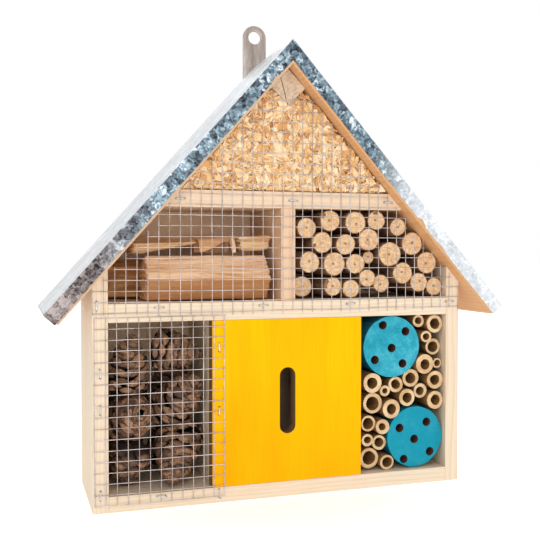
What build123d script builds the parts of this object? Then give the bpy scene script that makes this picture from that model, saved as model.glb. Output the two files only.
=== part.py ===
from build123d import *
from math import atan, cos, degrees, hypot, sin
import os

# Insect hotel: a small pine house with four filled rooms under a sheet-metal roof.
# Frame: +X right, +Y back, +Z up. Origin on the middle of the base. Millimetres.
# Depths called "y" below are measured back from the front edges of the boards.

os.makedirs("parts", exist_ok=True)

# ---------------------------------------------------------------- driving sizes
BODY_WIDTH = 232.0
BOARD_DEPTH = 66.0
BOARD = 9.0
BACK_PANEL = 4.0
ROUND = 0.4

LOWER_SHELF = (107.4, 118.1)
UPPER_SHELF = (173.4, 183.4)
CHAMBER = (-47.0, 47.9)
SLOT_WIDTH = 10.0
SLOT_HEIGHT = 40.0
SLOT_MIDDLE = (-0.4, 58.0)

ROOF_SLOPE = 1.116
RIDGE_HEIGHT = 272.9
EAVE_REACH = 142.9
ROOF_BOARD = 9.5
SHEET = 0.5
LIP_DEPTH = 8.7
EAVE_GAP = 0.6
ROOF_OVERHANG = 9.0
RIDGE_BAR = 15.6

HANGER_WIDTH = 16.0
HANGER_THICKNESS = 1.5
HANGER_TOP = 300.0
HANGER_FOOT = 230.0
HANGER_HOLE = 8.5
HANGER_CORNER = 2.0
SCREW_SHANK = 3.0
SCREW_HEAD = 6.5
SCREW_HEAD_HEIGHT = 1.8
SCREW_HEIGHTS = (240.5, 250.5)

WIRE = 0.6
UPPER_PITCH = 6.24
LOWER_PITCH = 6.25

NAIL = 1.6
NAIL_HEAD = 3.2
NAIL_HEAD_HEIGHT = 0.6
FIT_GAP = 0.1

# ---------------------------------------------------------------- derived places
HALF = BODY_WIDTH / 2
INNER = HALF - BOARD
BODY_DEPTH = BOARD_DEPTH + BACK_PANEL
FULL_DEPTH = ROOF_OVERHANG + BODY_DEPTH + HANGER_THICKNESS + SCREW_HEAD_HEIGHT
FRONT = ROOF_OVERHANG - FULL_DEPTH / 2
PITCH_ANGLE = atan(ROOF_SLOPE)
UNDERSIDE_PEAK = RIDGE_HEIGHT - (SHEET + ROOF_BOARD) / cos(PITCH_ANGLE)


def front_view(y):
    """Upright plane at depth y, drawn as seen from the front; a negative extrude goes back."""
    return Plane(origin=(0, FRONT + y, 0), x_dir=(1, 0, 0), z_dir=(0, -1, 0))


def side_view(x):
    """Upright plane across the house at x; its first axis is depth and it extrudes to +X."""
    return Plane(origin=(x, FRONT, 0), x_dir=(0, 1, 0), z_dir=(1, 0, 0))


def roof_line(x, down=0.0):
    """Height of the roof's outer surface at x, or of a surface lying down below it."""
    return RIDGE_HEIGHT - down / cos(PITCH_ANGLE) - ROOF_SLOPE * abs(x)


def underside_x(z, clear=0.0):
    """Half width of the space under the roof boards at height z."""
    return (UNDERSIDE_PEAK - clear / cos(PITCH_ANGLE) - z) / ROOF_SLOPE


def save(builder, name):
    """Label a finished piece and write it to its own file."""
    builder.part.label = name
    export_step(builder.part, f"parts/{name}.step")


# ---------------------------------------------------------------- nails and staples
# A nail is (head x, y, head z, direction x, y, z, length); its head lies flush in the wood.
SHELF_MIDDLES = (BOARD / 2, sum(LOWER_SHELF) / 2)
NAIL_DEPTHS = (14.0, 52.0)


def nail_plane(nail):
    """Plane on the nail's head, with its normal pointing out of the wood."""
    x, y, z, dx, dy, dz, length = nail
    across = (0, 1, 0) if dy == 0 else (1, 0, 0)
    return Plane(origin=(x, FRONT + y, z), x_dir=across, z_dir=(-dx, -dy, -dz))


def nail_solids(nails, gap=0.0):
    """All the nails of a list as one group; a gap makes them into the holes they sit in."""
    with BuildPart() as group:
        for nail in nails:
            with BuildSketch(nail_plane(nail)):
                Circle(NAIL_HEAD / 2 + gap)
            extrude(amount=-(NAIL_HEAD_HEIGHT + gap))
            with BuildSketch(nail_plane(nail)):
                Circle(NAIL / 2 + gap)
            extrude(amount=-(nail[6] + gap))
    return group


FRAME_NAIL_LENGTH = 24.0
BACK_NAIL_LENGTH = 18.0

FRAME_NAILS = [
    (side * HALF, y, z, -side, 0, 0, FRAME_NAIL_LENGTH)
    for side in (-1, 1)
    for z in SHELF_MIDDLES
    for y in NAIL_DEPTHS
]

BACK_NAILS = [
    (x, BODY_DEPTH, z, 0, -1, 0, BACK_NAIL_LENGTH)
    for x, z in (
        (-111.5, 25), (-111.5, 85), (111.5, 25), (111.5, 85),
        (-75, 4.5), (0, 4.5), (75, 4.5),
        (-70, 112.7), (20, 112.7), (70, 112.7),
        (-45, 178.4), (45, 178.4),
    )
]

ROOF_NAIL_LENGTH = 18.0
WALL_NAIL_X = 115.0
RIDGE_NAIL_X = 8.0


def roof_nail(side, x, y):
    """A nail square to the slope that crosses the roof board's underside at x."""
    dx = -side * sin(PITCH_ANGLE)
    dz = -cos(PITCH_ANGLE)
    head_x = side * x - ROOF_BOARD * dx
    head_z = roof_line(x, SHEET + ROOF_BOARD) - ROOF_BOARD * dz
    return (head_x, y, head_z, dx, 0, dz, ROOF_NAIL_LENGTH)


ROOF_NAILS = []
for side, ridge_depths in ((-1, (12.0, 44.0)), (1, (22.0, 54.0))):
    for y in NAIL_DEPTHS:
        ROOF_NAILS.append(roof_nail(side, WALL_NAIL_X, y))
    for y in ridge_depths:
        ROOF_NAILS.append(roof_nail(side, RIDGE_NAIL_X, y))

# A staple is (x, z, upright): its crown crosses one wire and its legs go into the wood.
STAPLE_SPAN = 4.8
STAPLE_WIRE = 0.6
STAPLE_LEG = 5.0
UPPER_STAPLES = (
    (-113.4, 117.2, True), (-78.3, 115.6, False), (-15.9, 115.6, False), (40.3, 115.6, False),
    (108.9, 115.6, False), (-65.8, 178.1, False), (2.9, 178.1, False), (65.3, 178.1, False),
)
LOWER_STAPLES = (
    (-111.7, 79.1, True), (-111.7, 58.6, True), (-111.7, 10.35, True), (-77.3, 7.2, False),
    (-42.9, 91.6, True), (-42.9, 54.1, True), (-42.9, 5.6, True),
)


def staple_solids(staples, gap=0.0):
    """U-shaped staples over the wires; with a gap, only the leg holes in the wood."""
    top = 0.0 if gap else -WIRE - STAPLE_WIRE
    leg = STAPLE_WIRE + 2 * gap
    with BuildPart() as group:
        for x, z, upright in staples:
            dx, dz = (0, STAPLE_SPAN / 2) if upright else (STAPLE_SPAN / 2, 0)
            with BuildSketch(front_view(top)):
                with Locations((x - dx, z - dz), (x + dx, z + dz)):
                    Rectangle(leg, leg)
            extrude(amount=-(STAPLE_LEG + gap - top))
            if not gap:
                with BuildSketch(front_view(top)):
                    with Locations((x, z)):
                        Rectangle(2 * dx + leg, 2 * dz + leg)
                extrude(amount=-STAPLE_WIRE)
    return group


wood_holes = [
    nail_solids(FRAME_NAILS + BACK_NAILS + ROOF_NAILS, FIT_GAP).part,
    staple_solids(UPPER_STAPLES + LOWER_STAPLES, FIT_GAP).part,
]


# ---------------------------------------------------------------- boards of the house
def board(points, y_from, y_to):
    """A board cut to a front outline, with softened edges, before its holes are made."""
    with BuildPart() as piece:
        with BuildSketch(front_view(y_from)):
            with BuildLine():
                Polyline(*points, close=True)
            make_face()
        extrude(amount=y_from - y_to)
        fillet(piece.edges(), ROUND)
    return piece


def drilled_board(points, y_from, y_to, name):
    """A board with the nail and staple holes that fall inside it."""
    blank = board(points, y_from, y_to)
    with BuildPart() as piece:
        add(blank.part)
        for holes in wood_holes:
            add(holes, mode=Mode.SUBTRACT)
    save(piece, name)


def box_outline(x_from, x_to, z_from, z_to):
    return [(x_from, z_from), (x_to, z_from), (x_to, z_to), (x_from, z_to)]


drilled_board(box_outline(-INNER, INNER, 0, BOARD), 0, BOARD_DEPTH, "floor_board")
drilled_board(box_outline(-INNER, INNER, *LOWER_SHELF), 0, BOARD_DEPTH, "lower_shelf")

for name, side in (("left_side_panel", -1), ("right_side_panel", 1)):
    wall = [(HALF, 0), (HALF, roof_line(HALF, SHEET + ROOF_BOARD))]
    wall += [(INNER, roof_line(INNER, SHEET + ROOF_BOARD)), (INNER, 0)]
    drilled_board([(side * x, z) for x, z in wall], 0, BOARD_DEPTH, name)

shelf_low, shelf_high = UPPER_SHELF
upper_outline = [(-underside_x(shelf_low), shelf_low), (underside_x(shelf_low), shelf_low)]
upper_outline += [(underside_x(shelf_high), shelf_high), (-underside_x(shelf_high), shelf_high)]
drilled_board(upper_outline, 0, BOARD_DEPTH, "upper_shelf")

middle_outline = box_outline(-BOARD / 2, BOARD / 2, LOWER_SHELF[1], UPPER_SHELF[0])
drilled_board(middle_outline, 0, BOARD_DEPTH, "middle_divider")

ROOM = (BOARD, LOWER_SHELF[0])
left_divider = box_outline(CHAMBER[0], CHAMBER[0] + BOARD, *ROOM)
right_divider = box_outline(CHAMBER[1] - BOARD, CHAMBER[1], *ROOM)
drilled_board(left_divider, BOARD, BOARD_DEPTH, "lower_left_divider")
drilled_board(right_divider, BOARD, BOARD_DEPTH, "lower_right_divider")

back_outline = [(-HALF, 0), (HALF, 0), (HALF, roof_line(HALF, SHEET + ROOF_BOARD))]
back_outline += [(0, UNDERSIDE_PEAK), (-HALF, roof_line(HALF, SHEET + ROOF_BOARD))]

# Screw holes through the back panel and into the ridge bar behind the hanger.
SCREW_LENGTH = 20.0


def hanger_screw_solids(gap=0.0):
    """Two round-head screws through the hanger; a gap makes their holes instead."""
    with BuildPart() as group:
        for z in SCREW_HEIGHTS:
            with BuildSketch(front_view(BODY_DEPTH + HANGER_THICKNESS)):
                with Locations((0, z)):
                    Circle(SCREW_SHANK / 2 + gap)
            extrude(amount=SCREW_LENGTH + gap)
            if gap:
                with BuildSketch(front_view(BODY_DEPTH)):
                    with Locations((0, z)):
                        Circle(SCREW_SHANK / 2 + gap)
                extrude(amount=-2 * HANGER_THICKNESS)
            else:
                with BuildSketch(front_view(BODY_DEPTH + HANGER_THICKNESS)):
                    with Locations((0, z)):
                        Circle(SCREW_HEAD / 2)
                extrude(amount=-SCREW_HEAD_HEIGHT)
    return group


screw_holes = hanger_screw_solids(FIT_GAP).part

back_blank = board(back_outline, BOARD_DEPTH, BODY_DEPTH)
with BuildPart() as back_panel:
    add(back_blank.part)
    for holes in wood_holes:
        add(holes, mode=Mode.SUBTRACT)
    add(screw_holes, mode=Mode.SUBTRACT)
save(back_panel, "back_panel")

# ---------------------------------------------------------------- butterfly room front
panel_blank = board(box_outline(*CHAMBER, *ROOM), 0, BOARD)
with BuildPart() as butterfly_panel:
    add(panel_blank.part)
    with BuildSketch(front_view(0)):
        with Locations(SLOT_MIDDLE):
            SlotOverall(SLOT_HEIGHT, SLOT_WIDTH, rotation=90)
    extrude(amount=-BOARD, mode=Mode.SUBTRACT)
    for holes in wood_holes:
        add(holes, mode=Mode.SUBTRACT)
save(butterfly_panel, "butterfly_panel")

# ---------------------------------------------------------------- roof
# The square ridge bar stands on its corner; its side corners touch both roof boards.
bar_reach = RIDGE_BAR * sin(atan(1))
bar_middle = UNDERSIDE_PEAK - ROOF_SLOPE * bar_reach
bar_outline = [(0, bar_middle - bar_reach), (bar_reach, bar_middle)]
bar_outline += [(0, bar_middle + bar_reach), (-bar_reach, bar_middle)]
bar_blank = board(bar_outline, 0, BOARD_DEPTH)
with BuildPart() as ridge_bar:
    add(bar_blank.part)
    for holes in wood_holes:
        add(holes, mode=Mode.SUBTRACT)
    add(screw_holes, mode=Mode.SUBTRACT)
save(ridge_bar, "ridge_bar")


def down_slope(x, down):
    """Point of the slope's cross-section that lies down square below the outer surface at x."""
    return (x - down * sin(PITCH_ANGLE), roof_line(x) - down * cos(PITCH_ANGLE))


board_end = EAVE_REACH - (SHEET + EAVE_GAP) * cos(PITCH_ANGLE)
for name, side in (("left_roof_board", -1), ("right_roof_board", 1)):
    slab = [(0, RIDGE_HEIGHT - SHEET / cos(PITCH_ANGLE)), down_slope(board_end, SHEET)]
    slab += [down_slope(board_end, SHEET + ROOF_BOARD), (0, UNDERSIDE_PEAK)]
    outline = [(side * x, z) for x, z in slab]
    drilled_board(outline, SHEET - ROOF_OVERHANG, BODY_DEPTH, name)


def slope_strip(side, x_end, top, bottom):
    """Cross-section of a layer on one slope, from the ridge down to the eave."""
    strip = [(0, roof_line(0, top)), down_slope(x_end, top)]
    strip += [down_slope(x_end, bottom), (0, roof_line(0, bottom))]
    return [(side * x, z) for x, z in strip]


# The sheet is one folded piece: two slopes, a lip down the front and a turned-down eave.
flange_end = EAVE_REACH - SHEET * cos(PITCH_ANGLE)
with BuildPart() as roof_sheet:
    for side in (-1, 1):
        with BuildSketch(front_view(-ROOF_OVERHANG)):
            with BuildLine():
                Polyline(*slope_strip(side, EAVE_REACH, 0, SHEET), close=True)
            make_face()
        extrude(amount=-(ROOF_OVERHANG + BODY_DEPTH))
        with BuildSketch(front_view(-ROOF_OVERHANG)):
            with BuildLine():
                Polyline(*slope_strip(side, flange_end, 0, LIP_DEPTH), close=True)
            make_face()
        extrude(amount=-SHEET)
        flange = [down_slope(EAVE_REACH, 0), down_slope(flange_end, 0)]
        flange += [down_slope(flange_end, LIP_DEPTH), down_slope(EAVE_REACH, LIP_DEPTH)]
        with BuildSketch(front_view(-ROOF_OVERHANG)):
            with BuildLine():
                Polyline(*[(side * x, z) for x, z in flange], close=True)
            make_face()
        extrude(amount=-(ROOF_OVERHANG + BODY_DEPTH))
save(roof_sheet, "roof_sheet")

# ---------------------------------------------------------------- hanger and fasteners
hanger_eye = HANGER_TOP - HANGER_WIDTH / 2
with BuildPart() as hanger_strap:
    with BuildSketch(front_view(BODY_DEPTH)):
        with Locations((0, (HANGER_FOOT + hanger_eye) / 2)):
            Rectangle(HANGER_WIDTH, hanger_eye - HANGER_FOOT)
        with Locations((0, hanger_eye)):
            Circle(HANGER_WIDTH / 2)
            Circle(HANGER_HOLE / 2, mode=Mode.SUBTRACT)
    extrude(amount=-HANGER_THICKNESS)
    foot_corners = hanger_strap.edges().filter_by(Axis.Y).group_by(Axis.Z)[0]
    fillet(foot_corners, HANGER_CORNER)
    add(screw_holes, mode=Mode.SUBTRACT)
save(hanger_strap, "hanger_strap")

save(hanger_screw_solids(), "hanger_screws")
save(nail_solids(FRAME_NAILS), "frame_nails")
save(nail_solids(BACK_NAILS), "back_panel_nails")
save(nail_solids(ROOF_NAILS), "roof_nails")
save(staple_solids(UPPER_STAPLES), "upper_mesh_staples")
save(staple_solids(LOWER_STAPLES), "lower_mesh_staples")


# ---------------------------------------------------------------- wire mesh
def mesh_panel(x_first, z_first, pitch, columns, rows, name, trim=None):
    """Welded mesh on the front edges of the boards, trimmed to an outline if one is given."""
    width = (columns - 1) * pitch
    height = (rows - 1) * pitch
    with BuildPart() as panel:
        with BuildSketch(front_view(-WIRE)):
            with Locations((x_first + width / 2, z_first + height / 2)):
                with GridLocations(pitch, 1, columns, 1):
                    Rectangle(WIRE, height + WIRE)
                with GridLocations(1, pitch, 1, rows):
                    Rectangle(width + WIRE, WIRE)
            if trim:
                with BuildLine():
                    Polyline(*trim, close=True)
                make_face(mode=Mode.INTERSECT)
        extrude(amount=-WIRE)
    save(panel, name)


# The upper mesh starts at its lower left weld and is snipped along both roof slopes.
UPPER_FIRST = (-115.7, 112.5)
UPPER_COLUMNS = 38
UPPER_ROWS = 21
LOWER_FIRST = (-114.8, 4.1)
LOWER_COLUMNS = 13
LOWER_ROWS = 18
MESH_CLEAR = 1.0

mesh_foot = UPPER_FIRST[1] - WIRE
mesh_top = UPPER_FIRST[1] + (UPPER_ROWS - 1) * UPPER_PITCH + WIRE
edge = HALF + 1
shoulder = roof_line(edge, SHEET + ROOF_BOARD + MESH_CLEAR)
top_reach = underside_x(mesh_top, MESH_CLEAR)
half_trim = [(edge, mesh_foot), (edge, shoulder), (top_reach, mesh_top)]
upper_trim = half_trim + [(-x, z) for x, z in reversed(half_trim)]
mesh_panel(*UPPER_FIRST, UPPER_PITCH, UPPER_COLUMNS, UPPER_ROWS, "upper_mesh", upper_trim)
mesh_panel(*LOWER_FIRST, LOWER_PITCH, LOWER_COLUMNS, LOWER_ROWS, "lower_mesh")

# ---------------------------------------------------------------- drilled blocks
BLOCK_RADIUS = 19.5
BLOCK_LENGTH = 60.0
BLOCK_HOLE = 5.5
BLOCK_HOLE_DEPTH = 50.0
BLOCK_FACE = 4.0
BLOCK_CHAMFER = 0.5


def drilled_block(x, z, holes, name):
    """Round block lying front to back, with five blind nesting holes in its face."""
    with BuildPart() as block:
        with BuildSketch(front_view(BLOCK_FACE)):
            with Locations((x, z)):
                Circle(BLOCK_RADIUS)
        extrude(amount=-BLOCK_LENGTH)
        chamfer(block.edges().group_by(Axis.Y)[0], BLOCK_CHAMFER)
        with BuildSketch(front_view(BLOCK_FACE)):
            with Locations(*holes):
                Circle(BLOCK_HOLE / 2)
        extrude(amount=-BLOCK_HOLE_DEPTH, mode=Mode.SUBTRACT)
    save(block, name)


upper_holes = ((64.4, 101.2), (80.3, 96.8), (70.6, 86.5), (59.0, 79.4), (78.3, 76.4))
lower_holes = ((76.4, 35.2), (95.5, 38.0), (86.8, 27.5), (79.4, 15.0), (98.0, 18.7))
drilled_block(70.5, 87.4, upper_holes, "upper_drilled_block")
drilled_block(87.2, 29.0, lower_holes, "lower_drilled_block")

# ---------------------------------------------------------------- bamboo canes
# (x, z, outer diameter, bore, depth of the front end); a node closes each cane at the back.
CANE_BACK = 65.5
CANE_NODE = 4.0
CANE_ROWS = (
    ((90.5, 103.0, 8.0, 4.5, 6), (101.0, 101.0, 11.5, 7.0, 4), (95.0, 93.0, 7.5, 4.5, 4),
     (101.5, 86.0, 10.5, 7.0, 7)),
    ((93.5, 75.5, 12.5, 6.5, 3), (103.5, 75.5, 6.5, 4.0, 5), (85.0, 66.5, 11.5, 7.0, 6),
     (101.0, 65.0, 11.5, 6.5, 3)),
    ((57.0, 65.0, 12.5, 7.0, 3), (66.0, 59.5, 7.0, 3.5, 4), (74.0, 63.0, 10.0, 6.0, 5)),
    ((92.0, 58.0, 9.5, 5.5, 6), (81.5, 54.5, 11.0, 6.5, 4), (101.0, 52.0, 11.5, 6.5, 3)),
    ((58.0, 52.0, 13.0, 8.5, 5), (70.0, 48.0, 12.0, 6.5, 3), (54.5, 39.5, 10.0, 7.0, 4),
     (64.0, 37.0, 9.5, 4.5, 3)),
    ((54.0, 29.0, 8.0, 4.5, 4), (63.0, 26.5, 9.5, 6.0, 6), (56.0, 17.0, 13.0, 8.5, 6),
     (67.5, 14.0, 9.5, 6.5, 4)),
)

for number, row in enumerate(CANE_ROWS, start=1):
    with BuildPart() as canes:
        for x, z, outer, bore, face in row:
            with BuildSketch(front_view(face)):
                with Locations((x, z)):
                    Circle(outer / 2)
            extrude(amount=face - CANE_BACK)
            with BuildSketch(front_view(face)):
                with Locations((x, z)):
                    Circle(bore / 2)
            extrude(amount=face - CANE_BACK + CANE_NODE, mode=Mode.SUBTRACT)
    save(canes, f"bamboo_canes_{number}")

# ---------------------------------------------------------------- twigs
# (x, z, diameter, depth of the sawn front end)
TWIG_BACK = 65.0
TWIG_ROWS = (
    ((13.5, 162.0, 12.5, 5), (28.5, 166.5, 13.0, 4), (45.0, 165.5, 14.0, 3), (60.0, 167.0, 12.0, 5),
     (74.5, 163.0, 11.0, 4)),
    ((23.5, 153.0, 13.0, 4), (38.5, 152.0, 13.0, 3), (54.5, 155.0, 14.0, 4), (56.0, 143.8, 7.6, 8),
     (84.5, 152.5, 14.5, 4)),
    ((15.0, 141.0, 13.0, 4), (31.0, 140.0, 14.5, 3), (45.0, 140.0, 12.5, 3), (69.0, 146.0, 15.5, 4),
     (95.5, 140.5, 14.0, 5)),
    ((12.5, 126.0, 13.0, 10), (30.0, 126.0, 11.5, 3), (42.5, 124.5, 11.5, 4), (53.0, 131.0, 11.0, 3)),
    ((63.5, 127.5, 11.0, 5), (77.5, 134.0, 13.5, 3), (89.5, 128.0, 12.0, 4), (101.0, 125.0, 11.5, 5)),
)

for number, row in enumerate(TWIG_ROWS, start=1):
    with BuildPart() as twigs:
        for x, z, across, face in row:
            with BuildSketch(front_view(face)):
                with Locations((x, z)):
                    Circle(across / 2)
            extrude(amount=face - TWIG_BACK)
    save(twigs, f"sawn_twigs_{number}")


# ---------------------------------------------------------------- split wood
def split_log(section, x_from, x_to, name):
    """A log lying left to right, split to a cross-section of (y, z) points."""
    with BuildPart() as log:
        with BuildSketch(side_view(x_from)):
            with BuildLine():
                Polyline(*section, close=True)
            make_face()
        extrude(amount=x_to - x_from)
    save(log, name)


def split_slab(outline, y_from, y_to, name):
    """A thinner split piece, given by its outline from the front."""
    with BuildPart() as slab:
        with BuildSketch(front_view(y_from)):
            with BuildLine():
                Polyline(*outline, close=True)
            make_face()
        extrude(amount=y_from - y_to)
    save(slab, name)


large_log = ((3, 131.5), (11, 118.6), (36, 118.6), (40, 136), (15, 145.2))
rear_log = ((42.5, 119), (60, 120), (64, 134), (55, 142), (43.5, 138))
LARGE_LOG_ENDS = (-85, -9)
REAR_LOG_ENDS = (-104, -48)
split_log(large_log, *LARGE_LOG_ENDS, "large_split_log")
split_log(rear_log, *REAR_LOG_ENDS, "rear_split_log")

wedge = ((-91.5, 146.5), (-85, 146), (-67, 149.5), (-52, 152), (-52, 153.5), (-91.5, 152.5))
slab = ((-88, 150), (-40, 150), (-31, 155), (-33, 158.5), (-86, 156.5))
offcut = ((-27.5, 149.5), (-25, 147.5), (-12, 148), (-7.5, 149.5), (-6, 157.5), (-27.5, 156.5))
split_slab(wedge, 18, 44, "split_wedge")
split_slab(slab, 46, 63, "split_slab")
split_slab(offcut, 14, 40, "split_offcut")

# A half pipe of bark, open below, lying across the top of the large log.
BARK_RADIUS = 10.5
BARK = 2.6
BARK_START = -51
BARK_LENGTH = 22
BARK_MIDDLE = (23, 147)
with BuildPart() as bark_curl:
    with BuildSketch(side_view(BARK_START)):
        with Locations(BARK_MIDDLE):
            Circle(BARK_RADIUS)
            Circle(BARK_RADIUS - BARK, mode=Mode.SUBTRACT)
        with Locations((BARK_MIDDLE[0], BARK_MIDDLE[1] - BARK_RADIUS / 2)):
            Rectangle(2 * BARK_RADIUS, BARK_RADIUS, mode=Mode.SUBTRACT)
    extrude(amount=BARK_LENGTH)
save(bark_curl, "bark_curl")


# ---------------------------------------------------------------- pine cones
# (x, y, z of the middle, direction the tip points in, length, widest diameter)
CONES = (
    (-91.5, 17.0, 51.0, (0.2, -0.9, 0.3), 33, 29),
    (-62.0, 20.5, 60.0, (0.5, -0.5, 0.7), 36, 29),
    (-65.0, 18.5, 25.5, (-0.3, -0.6, -0.7), 35, 30),
    (-93.0, 18.5, 82.5, (0.1, -0.3, 1.0), 33, 26),
    (-64.5, 19.0, 88.0, (1.0, -0.3, -0.1), 30, 25),
    (-93.5, 19.5, 22.0, (-0.2, 0.3, -1.0), 25, 24),
    (-88.0, 49.5, 64.0, (0.2, 0.3, 1.0), 34, 26),
    (-62.0, 49.5, 69.5, (0.1, 0.2, 1.0), 36, 26),
    (-63.0, 50.0, 30.0, (0.2, 0.2, 1.0), 36, 27),
    (-91.0, 49.5, 27.0, (0.1, 0.2, 1.0), 33, 27),
)
EGG_FULLNESS = 2 / 3
EGG_SHOULDER = 0.86


def egg_plane(x, y, z, towards, length):
    """Plane that stands at the egg's blunt end, with its normal along the egg's axis."""
    reach = hypot(*towards)
    step = [length / 2 / reach * part for part in towards]
    return Plane(origin=(x - step[0], FRONT + y - step[1], z - step[2]), z_dir=towards)


for number, (x, y, z, towards, length, across) in enumerate(CONES, start=1):
    base = egg_plane(x, y, z, towards, length)
    profile = Plane(origin=base.origin, x_dir=base.x_dir, z_dir=base.x_dir.cross(base.z_dir))
    belly = EGG_FULLNESS * across
    with BuildPart() as cone:
        with BuildSketch(profile):
            with BuildLine():
                Bezier((0, 0), (belly, 0), (belly, EGG_SHOULDER * length), (0, length))
                Line((0, length), (0, 0))
            make_face()
        revolve(axis=Axis(base.origin, base.z_dir))
    save(cone, f"pine_cone_{number:02d}")

# ---------------------------------------------------------------- wood shavings
# The loose heap is one closed prism that fills the attic up to the ridge bar.
SHAVINGS_CLEAR = 1.0
SHELF_CLEAR = 0.3
SHAVINGS_FRONT = 2.0
SHAVINGS_BACK = 65.0
shavings_top = bar_middle - bar_reach - SHAVINGS_CLEAR
shavings_low = UPPER_SHELF[1] + SHELF_CLEAR
half_heap = [(underside_x(z, SHAVINGS_CLEAR), z) for z in (shavings_low, shavings_top)]
heap = half_heap + [(-x, z) for x, z in reversed(half_heap)]
split_slab(heap, SHAVINGS_FRONT, SHAVINGS_BACK, "wood_shavings")

print("front of the boards y", round(FRONT, 2), "pitch", round(degrees(PITCH_ANGLE), 2))
print("underside peak", round(UNDERSIDE_PEAK, 2), "ridge bar middle", round(bar_middle, 2))
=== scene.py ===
# %% [markdown]
# # An insect hotel, built piece by piece
# A small pine house with four filled rooms: curled shavings in the attic, split logs and
# sawn twigs on the middle floor, pine cones, a yellow butterfly room and bamboo below.
# A zinc-coated sheet folds over the roof, and welded wire holds the loose filling in.
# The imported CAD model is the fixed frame: every size and place below is read from it.

# %% Load the frame
import math
import random

import bmesh
import bpy
from mathutils import Matrix, Vector, noise


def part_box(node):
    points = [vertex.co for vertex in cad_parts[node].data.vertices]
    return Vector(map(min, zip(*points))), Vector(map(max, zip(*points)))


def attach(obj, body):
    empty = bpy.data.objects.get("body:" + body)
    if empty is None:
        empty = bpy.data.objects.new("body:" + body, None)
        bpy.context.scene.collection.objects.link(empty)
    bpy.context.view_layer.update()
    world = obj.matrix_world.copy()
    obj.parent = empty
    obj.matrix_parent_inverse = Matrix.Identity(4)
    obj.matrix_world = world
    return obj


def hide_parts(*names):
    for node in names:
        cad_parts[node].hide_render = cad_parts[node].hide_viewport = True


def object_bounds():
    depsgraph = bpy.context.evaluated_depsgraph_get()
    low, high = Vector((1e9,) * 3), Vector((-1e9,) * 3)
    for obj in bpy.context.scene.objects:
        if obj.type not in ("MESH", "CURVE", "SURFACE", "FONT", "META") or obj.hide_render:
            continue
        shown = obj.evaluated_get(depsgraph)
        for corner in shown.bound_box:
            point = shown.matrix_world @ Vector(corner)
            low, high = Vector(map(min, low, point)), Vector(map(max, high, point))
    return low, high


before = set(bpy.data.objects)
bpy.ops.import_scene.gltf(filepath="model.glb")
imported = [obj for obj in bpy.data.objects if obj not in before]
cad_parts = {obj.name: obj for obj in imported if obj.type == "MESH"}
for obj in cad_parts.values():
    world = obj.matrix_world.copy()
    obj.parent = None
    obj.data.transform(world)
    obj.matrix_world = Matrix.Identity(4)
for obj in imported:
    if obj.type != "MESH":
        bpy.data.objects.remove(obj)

MM = 0.001
cad_low, cad_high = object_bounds()
print("CAD box, mm:", [round(side / MM) for side in cad_high - cad_low])

# %% [markdown]
# ## The camera and the room
# The house is seen a little from its left and from just above its middle height, quite
# close, so the left side panel shows and the sheet roof shows its front lip. A camera is
# easiest to place by the point it looks at, two angles and a distance.

# %% Camera
AIM = Vector((-0.0005, 0.0, 0.1344))
AZIMUTH = math.radians(-17.92)
ELEVATION = math.radians(1.48)
DISTANCE = 0.522
LENS = 54.6
SHIFT = (-0.002, 0.004)

towards_camera = Vector((
    math.sin(AZIMUTH) * math.cos(ELEVATION),
    -math.cos(AZIMUTH) * math.cos(ELEVATION),
    math.sin(ELEVATION),
))
bpy.ops.object.camera_add(location=AIM + DISTANCE * towards_camera)
camera = bpy.context.object
camera.rotation_euler = (-towards_camera).to_track_quat("-Z", "Y").to_euler()
camera.data.lens = LENS
camera.data.shift_x, camera.data.shift_y = SHIFT
bpy.context.scene.camera = camera
print("camera at, mm:", [round(x / MM) for x in camera.location])

# %% [markdown]
# Product light is wide and soft: a bright even room, one large lamp high in front on the
# left, one straight in front that looks into the rooms, a weaker one on the right, one above
# for the sheet roof and one behind for the back. The room itself is seen, and mirrored in
# the metal, at full white, but it lights the wood less, so that the lamps give it shape. The
# floor glows a little and so stays as white as the room. The plain view transform keeps a
# strong yellow as strong as it is painted.

# %% Light, floor and backdrop
ROOM_ON_SURFACES = 0.64
FLOOR_GLOW = 0.4
FLOOR_DROP = 0.1 * MM
WHITE = (1.0, 1.0, 1.0, 1.0)

scene = bpy.context.scene
scene.view_settings.view_transform = "Standard"
scene.view_settings.look = "None"

world = bpy.data.worlds.new("studio")
world.use_nodes = True
room_light = world.node_tree.nodes["Background"]
room_light.inputs["Color"].default_value = WHITE
ray = world.node_tree.nodes.new("ShaderNodeLightPath")
dim = world.node_tree.nodes.new("ShaderNodeMapRange")
dim.inputs["To Min"].default_value = 1.0
dim.inputs["To Max"].default_value = ROOM_ON_SURFACES
world.node_tree.links.new(ray.outputs["Is Diffuse Ray"], dim.inputs["Value"])
world.node_tree.links.new(dim.outputs["Result"], room_light.inputs["Strength"])
scene.world = world


def soft_lamp(name, place, size, power):
    """A square lamp that faces the middle of the house."""
    bpy.ops.object.light_add(type="AREA", location=place)
    lamp = bpy.context.object
    lamp.name = name
    lamp.data.size = size
    lamp.data.energy = power
    lamp.rotation_euler = (AIM - lamp.location).to_track_quat("-Z", "Y").to_euler()
    return lamp


soft_lamp("key_lamp", (-0.7, -1.2, 0.85), 0.7, 3.8)
soft_lamp("front_lamp", (-0.15, -1.5, 0.3), 0.6, 3.9)
soft_lamp("fill_lamp", (1.1, -0.9, 0.5), 0.9, 1.4)
soft_lamp("top_lamp", (-0.5, 0.2, 1.3), 0.9, 2.5)
soft_lamp("back_lamp", (0.6, 1.3, 0.8), 0.9, 3.0)


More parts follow.
